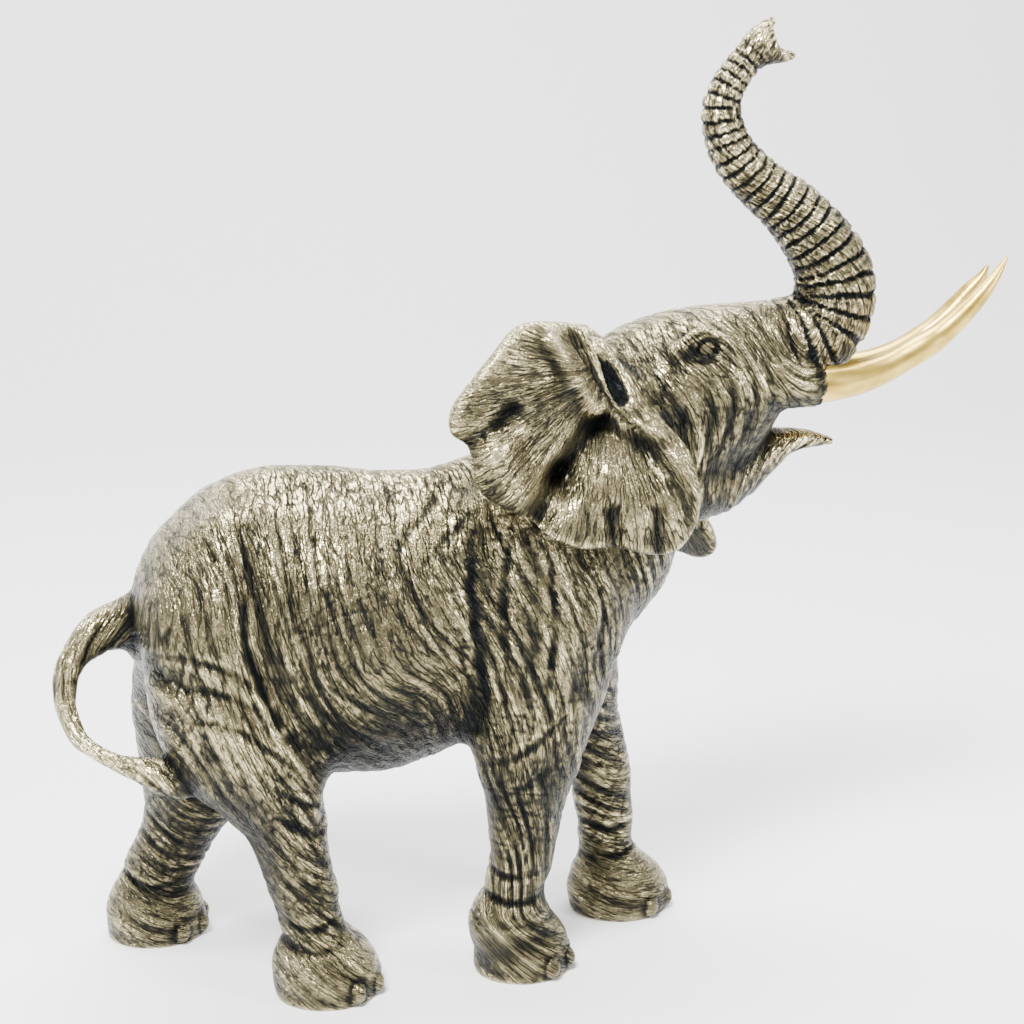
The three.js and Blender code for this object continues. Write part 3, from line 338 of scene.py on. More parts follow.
def ear_sheet(ear):
    origin, along, across, out = ear_axes(ear)
    rim = spline(ear["outline"], 3, closed=True)
    wall = EAR_WALL / PART / 2

    def distance(x, y, z):
        x, y, z = x - origin[0], y - origin[1], z - origin[2]
        a, b, c = (v[0] * x + v[1] * y + v[2] * z for v in (along, across, out))
        edge = outline_distance(a, b, rim)
        return np.hypot(np.maximum(edge + wall, 0), np.abs(c - ear_crest(ear, a, b)) * 0.88) - wall

    corners = np.array([origin + a * along + b * across + c * out for a, b in rim for c in (-2.5, 8)])
    return corners.min(0), corners.max(0), distance


# %% [markdown]
# ## Building the soft form
#
# A modeller would start with a bare torso and press limbs, head and ears onto it. The order
# here is the same, and the last number of each join is how softly it blends. Eyes, mouth,
# nostril and ear canal are cut at the end, with the same forms turned inside out.

# %% The soft form
def mirrored(stations, side):
    return [(s[0], s[1] * side, *s[2:]) for s in stations]


field = Field((-50, -20, -2.4), (42, 25, 103), GRID / PART)
field.join(limb(TORSO, width=0.84), 0)
field.join(limb(NECK, width=0.76), 4.7)
field.join(ball((18.6, 0, 61.3), (11.1, 8.8, 8.3)), 2.7)
field.join(ball((22, 0, 63.4), (8.1, 7.1, 6.6)), 2.7)
field.join(limb(SPINE), 5)
for side in (-1, 1):
    field.join(limb(mirrored(SHOULDER, side)), 6)
    field.join(limb(mirrored(HIP, side)), 6.5)
    field.join(ball((-13, 4.7 * side, 35.4), (12.1, 8.4, 8.8)), 4.7)
field.join(limb(TRUNK), 2.7)
field.join(limb(UPPER_FINGER), 1.3)
field.join(limb(LOWER_FINGER), 1.3)
for sheath in SHEATHS:
    field.join(limb(sheath), 2.7)
for side in (-1, 1):
    field.join(limb(mirrored(CHEEK, side)), 3.4)
    field.join(limb(mirrored(CHEEKBONE, side)), 2.7)
    field.join(limb(mirrored(BROW, side)), 1.9)
field.join(limb(JAW, width=1.5), 2.7)
nails = []
for leg in LEGS.values():
    field.join(limb(leg["stations"], 6), leg["blend"])
    field.join(limb(leg["joint"]), 2.7)
    field.join(ball(leg["heel"][:3], (leg["heel"][3],) * 3), 2)
    x, y, radius, height = leg["foot"]
    field.join(ball((x, y, FOOT_CENTRE), (radius, radius * 0.95, height)), 1.7)
    for angle in TOE_ANGLES:
        turn = math.radians(angle)
        toe = (x + 0.94 * radius * math.cos(turn), y + 0.9 * radius * math.sin(turn), FOOT_CENTRE * 0.85)
        field.join(ball(toe, [TOENAIL * share for share in NAIL_SHAPE]), 0.12)
        nails.append(toe)
field.join(limb(TAIL), 1.7)
for ear in EARS:
    field.join(ear_sheet(ear), 1)
    field.join(limb(ear["fill"]), 3)
for side in (-1, 1):
    x, y, z = EYE[0], EYE[1] * side, EYE[2]
    field.join(ball((x, y * 1.12, z), (1.4, 1.1, 0.8)), 0.7, cut=True)
    field.join(ball((x, y * 0.96, z), (0.9, 1, 0.65)), 0.15)
    field.join(limb(mirrored(LID, side)), 0.4)
field.join(limb(EAR_CANAL), 0.7, cut=True)
field.join(limb(MOUTH, width=2.2), 0.5, cut=True)
field.join(ball(NOSTRIL, (1.9, 1.1, 1.3)), 0.7, cut=True)
print("field", field.data.shape)

# %% [markdown]
# ## The tusks' curves
#
# A tusk runs from its shank in the socket to its point. The same stations bore the socket.

# %% Tusk stations and sockets
TUSKS = {
    "tusk_right": [
        (33, -4.7, 62.5, 1.85), (35.5, -4.5, 62.8, 1.8), (38.1, -4.3, 63.4, 1.7), (40.7, -4.2, 64.4, 1.5),
        (44.1, -4, 66.2, 1.45), (45.9, -3.8, 67.3, 1.3), (48.5, -3.6, 69.5, 1.1), (50.4, -3.4, 71.4, 0.9),
        (51.9, -3.2, 73.2, 0.6), (53.3, -2.9, 75.3, 0.15),
    ],
    "tusk_left": [
        (34.3, 4.7, 62.9, 1.85), (37.8, 4.5, 62.6, 1.8), (41.1, 4.3, 63, 1.7), (44.4, 4.1, 64.3, 1.55),
        (47.4, 3.9, 66.3, 1.4), (49.2, 3.7, 67.9, 1.3), (50.7, 3.5, 69.7, 1.1), (51.9, 3.3, 71.2, 0.9),
        (52.9, 3.1, 72.5, 0.55), (53.5, 2.9, 73.8, 0.15),
    ],
}
SOCKET_DEPTH = 0.010 / PART
SHANK_TAPER = 0.72
for name, rows in TUSKS.items():
    lip, second = np.array(rows[0]), np.array(rows[1])
    inward = (lip - second)[:3] / np.linalg.norm((lip - second)[:3])
    rows.insert(0, (*(lip[:3] + inward * SOCKET_DEPTH), lip[3] * SHANK_TAPER))
    field.join(limb(rows, grow=GAP / PART), 0.05, cut=True)

# %% [markdown]
# ## Drawing the surface
#
# One vertex in each cell that the surface crosses and one quad round each crossed edge.
# Where two parts of the form would meet at one edge, the weaker sample changes side first.

# %% Surface of the field
def untangle(data):
    for _ in range(8):
        changed = 0
        for u, v in ((0, 1), (0, 2), (1, 2)):
            def part(du, dv):
                cut = [slice(None)] * 3
                cut[u] = slice(du, data.shape[u] - 1 + du)
                cut[v] = slice(dv, data.shape[v] - 1 + dv)
                return tuple(cut)
            parts = [data[part(du, dv)] for du, dv in ((0, 0), (1, 1), (1, 0), (0, 1))]
            neg = [p < 0 for p in parts]
            crossed = (neg[0] == neg[1]) & (neg[2] == neg[3]) & (neg[0] != neg[2])
            if not crossed.any():
                continue
            outer = np.where(neg[0], parts[2], parts[0])
            other = np.where(neg[0], parts[3], parts[1])
            first = outer < other
            for pick, which in (((0, 0), crossed & ~neg[0] & first), ((1, 1), crossed & ~neg[0] & ~first),
                                ((1, 0), crossed & neg[0] & first), ((0, 1), crossed & neg[0] & ~first)):
                data[part(*pick)][which] = -0.001
            changed += int(crossed.sum())
        if not changed:
            return


def surface(field):
    data, (nx, ny, nz) = field.data, field.data.shape
    inside = data < 0
    total = np.zeros((nx - 1, ny - 1, nz - 1), np.int8)
    for i in (0, 1):
        for j in (0, 1):
            for k in (0, 1):
                total += inside[i:nx - 1 + i, j:ny - 1 + j, k:nz - 1 + k]
    active = (total > 0) & (total < 8)
    cells = np.argwhere(active)
    index = np.full(active.shape, -1, np.int64)
    index[active] = np.arange(len(cells))
    moved, crossings = np.zeros((len(cells), 3)), np.zeros(len(cells))
    for corner in np.ndindex(2, 2, 2):
        for axis in range(3):
            if corner[axis]:
                continue
            other = list(corner)
            other[axis] = 1
            a = data[tuple((cells + corner).T)]
            b = data[tuple((cells + other).T)]
            cross = (a < 0) != (b < 0)
            at = np.tile(np.array(corner, float), (int(cross.sum()), 1))
            at[:, axis] += a[cross] / (a[cross] - b[cross])
            moved[cross] += at
            crossings[cross] += 1
    verts = (cells + moved / crossings[:, None]) * field.step + field.low
    quads = []
    for axis in range(3):
        near = [slice(1, -1)] * 3
        near[axis] = slice(0, -1)
        far = list(near)
        far[axis] = slice(1, None)
        a, b = inside[tuple(near)], inside[tuple(far)]
        edges = np.argwhere(a != b)
        shift = np.array([1, 1, 1])
        shift[axis] = 0
        base = edges + shift
        u, v = (axis + 1) % 3, (axis + 2) % 3
        ring = []
        for du, dv in ((1, 1), (0, 1), (0, 0), (1, 0)):
            cell = base.copy()
            cell[:, u] -= du
            cell[:, v] -= dv
            ring.append(index[tuple(cell.T)])
        ring = np.stack(ring, 1)
        flip = ~a[tuple(edges.T)]
        ring[flip] = ring[flip][:, ::-1]
        quads.append(ring)
    return verts, np.vstack(quads)


field.data = np.maximum(field.data, -field.window((-99, -99, -99), (99, 99, 199))[3])
untangle(field.data)
verts, quads = surface(field)
print("surface", len(verts), "vertices", len(quads), "quads")


# %% [markdown]
# ## Flow of the hide
#
# Wrinkles follow guide lines seen from the side. From the guides comes a direction at every
# point of the side view, and from the directions two coordinates: one that grows across the
# wrinkles and one along them. Noise in these coordinates gives wrinkles that follow the hide.

# %% Guides
COMMON = [
    [(-25.5, 55.9), (-26.4, 47.9), (-25.9, 39.7), (-23.3, 33.4), (-19.4, 28.4), (-14.4, 26)],
    [(-21.9, 53.8), (-23, 47.8), (-22.9, 40.6), (-21.1, 35.3), (-17.4, 31), (-12.3, 29.1)],
    [(-18.5, 52.7), (-19.6, 46.6), (-19.2, 40.5), (-17.3, 36.2), (-14.3, 34), (-11.7, 33.6)],
    [(-15.5, 52.6), (-16.3, 46.5), (-16, 41.3)],
    [(-12.1, 51.9), (-12.1, 46.3), (-11.4, 41.1), (-11, 37)],
    [(-8.1, 51.3), (-8.9, 47.2), (-8.2, 41), (-7.7, 35.7)],
    [(-4.3, 51.1), (-6.3, 46.1), (-5.1, 38.8), (-4.3, 33.5), (-5.2, 28.8)],
    [(-37.9, 38.7), (-33, 39), (-28.2, 36.9), (-23.8, 32.9), (-20, 26.3)],
    [(-39, 35.2), (-34.1, 35), (-28.8, 33.1), (-23.9, 28.7), (-20, 23.7)],
    [(-36.9, 45.3), (-32.7, 45.5), (-29.4, 43), (-27.5, 39.8)],
    [(-31.6, 52.1), (-28.3, 48), (-26.5, 43.9)],
    [(-2.1, 49), (-1.6, 40.7), (-2.6, 32.3), (-2.6, 25.9)],
    [(2, 46.8), (4.1, 38.3), (3.6, 29.9), (0.5, 22.5), (0.5, 12)],
    [(7.1, 44.5), (9.4, 38.1), (8.3, 31.8), (5.2, 24.4)],
    [(10.2, 46.5), (12.3, 42.2), (10.8, 37)],
    [(4, 57), (8, 50), (12, 44)],
    [(9, 61), (13, 54), (14, 46)],
    [(13, 69), (15, 64), (18, 58), (19, 51)],
    [(18, 70.5), (17, 66.5), (18.6, 62), (20, 56), (21, 50)],
    [(20, 70.5), (23.5, 67.5), (24.5, 62), (22, 55.5)],
    [(30, 71), (28, 67), (27, 61)],
    [(36, 56), (31, 54.5), (26, 51.5)],
    [(-40, 39), (-44, 36.5), (-46, 32.3), (-44.4, 28.2), (-40, 26.3)],
    [
        (31.9, 66.6), (35.4, 70.7), (34.6, 75.3), (30.2, 80.6), (26, 84), (23.2, 88.3), (23.3, 92.6),
        (26.9, 97.1),
    ],
]
SIDE_GUIDES = {
    -1: [
        [(-38.2, 31), (-33.4, 28.7), (-27.5, 25.2), (-20.6, 19.4)],
        [(-33, 27), (-28, 23), (-23, 19.5), (-19.5, 17.5)],
        [(-27, 15), (-23, 14), (-19, 14.6)], [(-26, 9.5), (-22, 8.6), (-18, 9)],
        [(-26, 3.5), (-20, 2), (-14, 3)],
        [(5, 22), (2, 16), (-1, 10)], [(-3, 21), (-1, 14), (-3, 9)], [(-5, 5), (1, 3.6), (7, 5)],
    ],
    1: [
        [(-38, 24), (-33, 20), (-27, 18)], [(-40, 14), (-35, 11), (-30, 11)], [(-43, 5), (-38, 3), (-32, 4)],
        [(6, 26), (10, 24), (15, 24)], [(8, 18), (12, 16.6), (16, 17)], [(9, 10), (13, 9), (17, 9.6)],
        [(9, 4), (14, 2.6), (20, 4)],
    ],
}


SIDE_LOW, SIDE_HIGH, SIDE_STEP = (-50, -3), (40, 104), 0.6  # the side view's grid


def flow_grid(guides, step=SIDE_STEP):
    """Directions on a side-view grid, and the two coordinates fitted to them."""
    xs, zs = (np.arange(low, high, step) for low, high in zip(SIDE_LOW, SIDE_HIGH))
    x, z = np.meshgrid(xs, zs, indexing="ij")
    total = np.zeros((2, *x.shape))
    for guide in guides:
        line = spline(guide, 3)
        for p, q in zip(line[:-1], line[1:]):
            e = (q - p) / (np.linalg.norm(q - p) + 1e-9)
            weight = np.linalg.norm(q - p) / (segment_distance(x, z, p, q) ** 2 + 0.6) ** 1.6
            total += weight * e[:, None, None]
    total /= np.hypot(*total) + 1e-12
    coords = []
    for target in ((total[1], -total[0]), (total[0], total[1])):
        gx, gz = target
        source = np.zeros_like(gx)
        source[:-1] += gx[:-1]
        source[1:] -= gx[:-1]
        source[:, :-1] += gz[:, :-1]
        source[:, 1:] -= gz[:, :-1]
        n, m = gx.shape
        # Cosine transform by an even extension, for free edges.
        even = np.block([[source, source[:, ::-1]], [source[::-1], source[::-1, ::-1]]])
        rows, columns = (2 * np.cos(np.pi * np.arange(2 * size) / size) - 2 for size in (n, m))
        power = rows[:, None] + columns
        power[0, 0] = 1
        coords.append(np.real(np.fft.ifft2(np.fft.fft2(even) / power))[:n, :m] * step)
    return coords


def sample(grid, x, z, step=SIDE_STEP):
    """The grid's value at points of the side view."""
    u = np.clip((x - SIDE_LOW[0]) / step, 0, grid.shape[0] - 1.001)
    v = np.clip((z - SIDE_LOW[1]) / step, 0, grid.shape[1] - 1.001)
    i, j = u.astype(int), v.astype(int)
    u, v = u - i, v - j
    return ((grid[i, j] * (1 - u) + grid[i + 1, j] * u) * (1 - v)
            + (grid[i, j + 1] * (1 - u) + grid[i + 1, j + 1] * u) * v)


def noise(a, b, seed):
    """Smooth noise from -1 to 1 in two coordinates."""
    table = np.random.default_rng(seed).uniform(0, 2 * np.pi, (256, 256))
    i, j = np.floor(a).astype(int), np.floor(b).astype(int)
    u, v = a - i, b - j

    def corner(di, dj):
        angle = table[(i + di) % 256, (j + dj) % 256]
        return np.cos(angle) * (u - di) + np.sin(angle) * (v - dj)

    su, sv = u * u * u * (u * (6 * u - 15) + 10), v * v * v * (v * (6 * v - 15) + 10)
    top = corner(0, 0) * (1 - su) + corner(1, 0) * su
    low = corner(0, 1) * (1 - su) + corner(1, 1) * su
    return 1.5 * (top * (1 - sv) + low * sv)


flows = {side: flow_grid(COMMON + SIDE_GUIDES[side]) for side in (-1, 1)}
print("flow grids", flows[-1][0].shape)

# %% [markdown]
# ## Which part of the form a vertex belongs to
#
# The trunk gets ring folds along its length and the ears get folds that fan out from their
# roots; the rest gets the flow of the hide.

# %% Coordinates of the skin
def along_line(points, stations, per_span=6, skip=0):
    """For each point, place along the line, distance from it and the line's radius there."""
    p = spline(stations, per_span)[skip:]
    starts = np.concatenate([[0], np.cumsum(np.linalg.norm(np.diff(p[:, :3], axis=0), axis=1))])
    best = np.full(len(points), np.inf)
    place, radius = np.zeros(len(points)), np.ones(len(points))
    for i, (a, b) in enumerate(zip(p[:-1], p[1:])):
        e = (b - a)[:3]
        t = np.clip((points - a[:3]) @ e / (e @ e + 1e-9), 0, 1)
        d = np.linalg.norm(points - a[:3] - t[:, None] * e, axis=1)
        near = d < best
        best[near] = d[near]
        place[near] = (starts[i] + t * np.linalg.norm(e))[near]
        radius[near] = (a[3] + t * (b[3] - a[3]))[near]
    return place, best, radius, starts[-1]


def vertex_normals(v, q):
    n = np.zeros_like(v)
    for a, b, c in ((0, 1, 2), (0, 2, 3)):
        f = np.cross(v[q[:, b]] - v[q[:, a]], v[q[:, c]] - v[q[:, a]])
        for i in (a, b, c):
            for axis in range(3):
                n[:, axis] += np.bincount(q[:, i], f[:, axis], len(v))
    return n / (np.linalg.norm(n, axis=1)[:, None] + 1e-12)


normals = vertex_normals(verts, quads)
x, y, z = verts.T
left_share = ramp(y, -2.5, 2.5)
across, length = (sample(flows[-1][i], x, z) * (1 - left_share) + sample(flows[1][i], x, z) * left_share
                  for i in (0, 1))
beside = y * 0.4

place, off, radius, trunk_length = along_line(verts, TRUNK, skip=6)
on_trunk = (1 - ramp(off - radius, 0.7, 1.8)) * ramp(place / trunk_length, 0.0, 0.1)
ear_masks = []
for ear, side in zip(EARS, (-1, 1)):
    origin, along, cross_dir, out = ear_axes(ear)
    a, b, c = ((verts - origin) @ v for v in (along, cross_dir, out))
    lift = np.abs(c - ear_crest(ear, a, b))
    from_root = segment_distance(a, b, *ear["root"])
    rim_gap = outline_distance(a, b, spline(ear["outline"], 3, closed=True))
    mask = (1 - ramp(lift, 0.9, 1.6)) * ramp(from_root, 0.8, 3) * (rim_gap < 0.8)
    mid = np.mean(ear["root"], axis=0)
    angle = np.arctan2(b - mid[1], a - mid[0])
    fan = mask > 0.5
    across[fan] = (angle * 11)[fan]
    length[fan] = np.hypot(a - mid[0], b - mid[1])[fan]
    beside[fan] = 30 * side + np.sign(c - ear_crest(ear, a, b))[fan] * 5
    ear_masks.append(mask)
on_ear = np.maximum(*ear_masks)
print("trunk vertices", int((on_trunk > 0.5).sum()), "ear vertices", int((on_ear > 0.5).sum()))

# %% [markdown]
# ## Grooves of the hide
#
# Long grooves lie side by side and wander a little. Finer ones are where noise passes
# through zero, so they run, branch and join as wrinkles do. Both fade where the hide is
# stretched over the belly, the thigh and the back, as on the real casting.

# %% Grooves
SMOOTHER = [  # x, z and reach
    (-14, 37, 6), (-28, 40, 3.5), (-29, 29, 4), (-33, 45, 4.5),
    (5, 41, 3.5), (10, 54, 4), (-2, 57, 3), (1, 66, 4),
]
LONG_DEPTH, FINE_DEPTH, CROSS_DEPTH = 0.19, 0.10, 0.06
SWELL = 0.2  # how far the hide between the grooves rises and falls


def grooves(scale, stretch, seed, width):
    """Grooves that branch and join, where noise passes through zero."""
    warp = 0.5 * noise(across / (scale * 3), length / (scale * 5) + beside / 4, seed + 50)
    n = noise(across / scale + warp, length / (scale * stretch) + beside / (scale * 2), seed)
    return np.exp(-(n / width) ** 2)


def long_lines(spacing, seed, width):
    """Grooves side by side that wander a little and fade in and out along their length."""
    wander = 0.8 * noise(across / (spacing * 2.5), length / (spacing * 8) + beside / 5, seed)
    phase = across / spacing + wander
    patches = noise(across / (spacing * 1.7) + 7, length / (spacing * 6) + beside / 4, seed + 1)
    return ramp(patches, -0.4, 0.4) * np.exp(-((phase - np.round(phase)) / width) ** 2)


hide = (1 - on_trunk) * (1 - 0.65 * on_ear)
calm = np.clip(0.75 + 0.6 * noise(x / 7, z / 7 + y / 9, 3), 0.2, 1.2)
plain_skin = np.ones(len(verts))
for at_x, at_z, reach in SMOOTHER:
    plain_skin *= 1 - 0.8 * np.exp(-((x - at_x) ** 2 + (z - at_z) ** 2) / reach ** 2)
calm *= plain_skin
facing_up = ramp(normals[:, 2], 0.25, 0.85)
calm *= 1 - 0.5 * facing_up
depth = np.zeros(len(verts))
depth += LONG_DEPTH * hide * (0.25 + 0.75 * calm) * long_lines(1.5, 11, 0.2)
fine = hide * (0.45 + 0.55 * plain_skin) * (1 - 0.45 * facing_up)
depth += FINE_DEPTH * fine * grooves(0.95, 11, 12, 0.28)
depth += CROSS_DEPTH * hide * calm * grooves(3.1, 0.4, 14, 0.12)
swell = SWELL * hide * (1 - 0.5 * facing_up) * noise(across / 2.6, length / 14 + beside / 5, 13)
print("hide grooves up to", round(float(depth.max() * PART * 1000), 2), "mm deep")

# %% [markdown]
# ## Rings of the trunk
#
# The trunk folds in rings that stand closer towards its tip. Each ring is a whole turn of a
# phase that runs along the trunk, and noise keeps them from being true circles.

# %% Rings
RINGS = dict(first=1.9, last=1.0, depth=0.40, width=0.62)
u = place / trunk_length
shrink = RINGS["first"] - RINGS["last"]
phase = np.log(RINGS["first"] / (RINGS["first"] - shrink * u)) * trunk_length / shrink
phase += 0.16 * noise(y / 1.6 + 30, place / 1.5, 21)
ring = 1 - np.clip(np.abs(np.sin(np.pi * phase)) / RINGS["width"], 0, 1)
ring = ring * ring * (3 - 2 * ring)
thickness = 0.5 + 0.5 * np.clip(radius / 4, 0, 1)
depth += RINGS["depth"] * ring * on_trunk * (1 - ramp(u, 0.93, 1)) * thickness
axis_x = np.interp(z, [s[2] for s in TRUNK[4:]], [s[0] for s in TRUNK[4:]])
around = np.arctan2(y, 1e-6 + (x - axis_x))
depth += 0.10 * on_trunk * np.exp(-(noise(around * 5, place / 1.1, 22) / 0.25) ** 2)
print("trunk with", int(phase[on_trunk > 0.5].max()), "rings")

# %% [markdown]
# ## Deep folds
#
# Where a limb or the neck bends, the hide folds. A fold is a line in the side view with a
# width, a depth and the sides of the body that it is on, and it thins out towards its ends.
# Under the largest ones lies a wide soft valley, which parts the masses of the body.

# %% Folds
BOTH, RIGHT, LEFT = (-1, 1), (-1,), (1,)  # sides of the body, by the sign of y
FOLDS = [
    ([(-27.1, 49), (-27.6, 43.4), (-27.1, 38.2), (-24.4, 32), (-21.4, 27), (-18.6, 21.5)], 0.55, 0.55, BOTH),
    ([(-37.4, 37.9), (-33, 38.2), (-28.2, 36.3), (-24.7, 32.9)], 0.35, 0.25, BOTH),
    ([(-36.3, 34.9), (-31.7, 35.2), (-26.9, 33.2), (-23.4, 29.4)], 0.35, 0.22, BOTH),
    ([(-35.7, 32), (-30, 31.8), (-25.1, 28.6), (-20.5, 24.2)], 0.35, 0.22, BOTH),
    ([(-24.2, 38.7), (-21.6, 33.6), (-17.8, 29.6), (-13, 27.8)], 0.4, 0.22, BOTH),
    ([(-20.8, 39.5), (-18.8, 34.9), (-15.4, 32), (-11.6, 31.2)], 0.35, 0.18, BOTH),
    ([(-12.5, 47.6), (-9.5, 50.3), (-6, 53.6)], 0.45, 0.35, BOTH),
    ([(-10, 45.6), (-6.4, 49.2), (-2.6, 52.8)], 0.4, 0.3, BOTH),
    ([(-3.8, 52.7), (-4.8, 46.6), (-4.3, 38.1), (-3.6, 31.7), (-4.7, 28.5)], 0.42, 0.34, BOTH),
    ([(-0.7, 51.4), (-1.8, 42.2), (-1.2, 33.7)], 0.45, 0.5, BOTH),
    ([(2.8, 47.5), (3.2, 39.9), (2.2, 32.5)], 0.45, 0.5, BOTH),
    ([(7.5, 46.1), (8.9, 40.7), (7.4, 34.9)], 0.45, 0.5, BOTH),
    ([(-4.9, 24.2), (0.3, 27), (5, 31.3)], 0.4, 0.24, RIGHT),
    ([(-3.1, 20.8), (1.9, 24.1), (6.4, 28)], 0.4, 0.22, RIGHT),
    ([(-25.6, 9.6), (-22, 8.4), (-18.4, 9.2)], 0.4, 0.3, RIGHT),
    ([(-4.2, 13), (-0.6, 12), (3, 12.6)], 0.4, 0.3, RIGHT),
    ([(-42, 8.4), (-38, 6.8), (-34, 7.6)], 0.4, 0.35, LEFT),
    ([(9.8, 8.6), (13.4, 7.4), (17, 8.2)], 0.4, 0.35, LEFT),
    ([(9.4, 11.6), (13, 10.6), (16.4, 11.4)], 0.4, 0.3, LEFT),
    ([(-25.8, 25.6), (-22.7, 22.7), (-19.6, 21.3)], 0.4, 0.4, RIGHT),
    ([(-26, 22.2), (-22.5, 19.6), (-19.5, 18.3)], 0.4, 0.4, RIGHT),
    ([(-25.3, 7.4), (-21.8, 6), (-17.6, 6.8)], 0.4, 0.4, RIGHT),
    ([(-3.9, 10), (-0.2, 9), (3.5, 9.9)], 0.4, 0.4, RIGHT),
    ([(16.6, 66.3), (18, 67.9), (19.9, 68.6), (21.8, 67.6), (23.4, 66)], 0.26, 0.3, BOTH),
    ([(17.6, 66.2), (19.6, 65.8), (21.6, 66.1)], 0.26, 0.26, BOTH),
    ([(16, 68.6), (18.2, 70), (21, 70)], 0.3, 0.25, BOTH),
]
VALLEYS = [
    ([(-26.6, 50), (-26.2, 42), (-24.5, 34), (-21, 27), (-18.4, 21.5)], 2.0, 0.6),
    ([(-3.9, 52), (-4.4, 44), (-4, 36), (-4.6, 29)], 1.2, 0.22),
    ([(1, 49), (1.4, 41), (0.6, 34)], 1.5, 0.3),
    ([(6, 46), (7, 40), (5.6, 33)], 1.5, 0.35),
    ([(-36, 36), (-31, 35), (-27, 31), (-24, 26)], 1.5, 0.35),
    ([(12, 49), (11, 43), (9, 36)], 1.6, 0.35),
]
uneven = 0.75 + 0.5 * noise(x / 2.3 + 9, z / 2.3 + 4, 31)
for line, width, cut, sides in FOLDS:
    p = spline(line, 4)
    best = np.zeros(len(verts))
    low, high = p.min(0) - 3 * width, p.max(0) + 3 * width
    near = np.flatnonzero((x > low[0]) & (x < high[0]) & (z > low[1]) & (z < high[1]))
    for i, (a, b) in enumerate(zip(p[:-1], p[1:])):
        end = min(1, 3 * min(i + 0.5, len(p) - 1.5 - i) / len(p))
        wide = width * (0.5 + 0.7 * end)
        g = np.exp(-(segment_distance(x[near], z[near], a, b) / wide) ** 2) * end
        best[near] = np.maximum(best[near], g)
    for side in sides:
        depth += cut * uneven * best * ramp(side * y, 1.3, 4) * (1 - on_ear)
for line, width, sunk in VALLEYS:
    p = spline(line, 3)
    gap = np.min([segment_distance(x, z, a, b) for a, b in zip(p[:-1], p[1:])], axis=0)
    swell -= sunk * np.exp(-(gap / width) ** 2) * ramp(np.abs(y), 2, 6) * (1 - on_ear)
print(len(FOLDS), "folds and", len(VALLEYS), "valleys")

# %% [markdown]
# ## Moving the skin
#
# The eyes, the toenails and the soles stay smooth, so the carving fades round them. Then
# each vertex moves along its normal, up by the swell and down by the depth.

# %% Carved skin
floor_fade = ramp(z, 0.15, 1.2)
eye_clear, on_ball = 1.0, 0.0
for side in (-1, 1):
    gap = np.linalg.norm(verts - np.array([EYE[0], EYE[1] * side * 1.03, EYE[2]]), axis=1)
    eye_clear = eye_clear * ramp(gap, 1.1, 1.7)
    on_ball = on_ball + 1 - ramp(gap, 0.7, 0.95)
on_nail = np.zeros(len(verts))
for nail in nails:
    gap = np.linalg.norm((verts - nail) / NAIL_SHAPE, axis=1)
    on_nail = np.maximum(on_nail, 1 - ramp(gap, 1.2, 1.35))
feet_calm = 0.3 + 0.7 * ramp(z, 4, 9)
depth = depth * feet_calm
offset = (swell - depth) * floor_fade * (0.15 + 0.85 * eye_clear) * (1 - on_nail)
verts = verts + normals * offset[:, None]
verts[:, 2] = np.maximum(verts[:, 2], 0)
print("deepest cut", round(float(depth.max() * PART * 1000), 2), "mm")

# %% [markdown]
# ## Patina, with painted light and shade
#
# The dark patina stays in hollows and is rubbed off the ridges. How hollow the surface is at
# a vertex comes from how far its neighbours stand above it, near and farther away. Light and
# shade are painted into the same value: lighter on faces that look up, darker on those that
# look down and towards the bottom, and darker in the ear pocket, the eye sockets and round
# the mouths of the tusks' sockets.

# %% Shade
def neighbour_mean(values, pairs, n):
    total = np.zeros((n, values.shape[1]))
    count = np.bincount(pairs[:, 0], minlength=n) + np.bincount(pairs[:, 1], minlength=n)
    for axis in range(values.shape[1]):
        total[:, axis] = (np.bincount(pairs[:, 0], values[pairs[:, 1], axis], n)
                          + np.bincount(pairs[:, 1], values[pairs[:, 0], axis], n))
    return total / np.maximum(count, 1)[:, None]


NEAR_SHARE, FAR_SHARE = 0.27, 0.2  # how much small and large hollows darken
PAINTED_TOP_LIGHT = 0.5  # painted light and shade: how much lighter the colour is on top than underneath
# The eye sockets get painted shade; the eyeballs and the toenails get a tone of their own.
EYE_SOCKET_PAINTED_SHADE, BALL_SHADE, NAIL_SHADE = 0.72, 0.32, 0.36
edges = np.vstack([quads[:, [i, (i + 1) % 4]] for i in range(4)])
edges = np.unique(np.sort(edges, axis=1), axis=0)
normals = vertex_normals(verts, quads)
smooth = verts.copy()
hollows = []
for rounds in (3, 10):
    for _ in range(rounds):
        smooth = neighbour_mean(smooth, edges, len(verts))
    hollows.append(((smooth - verts) * normals).sum(1))
form_normals = vertex_normals(smooth, quads)
near, far = (h / np.percentile(np.abs(h), 85) for h in hollows)
far = far * (1 - 0.7 * on_ear)
# Painted light and shade: faces that look up are lighter and faces that look down darker.
patina_and_painted_light = 0.5 + 0.5 * np.tanh(NEAR_SHARE * near + FAR_SHARE * far - PAINTED_TOP_LIGHT * form_normals[:, 2])
# Painted shade: darker towards the bottom, below about a quarter of the height; the trunk is also made darker
# and the ears lighter.
patina_and_painted_light += 0.05 * on_trunk + 0.04 * (1 - ramp(verts[:, 2], 18, 30)) - 0.07 * on_ear
# Painted shade in the ear pocket, where the canal runs deep.
canal = along_line(verts, EAR_CANAL)
patina_and_painted_light += 0.5 * (1 - ramp(canal[1] - canal[2], 0.2, 0.9)) * ramp(hollows[1], 0, 0.1)
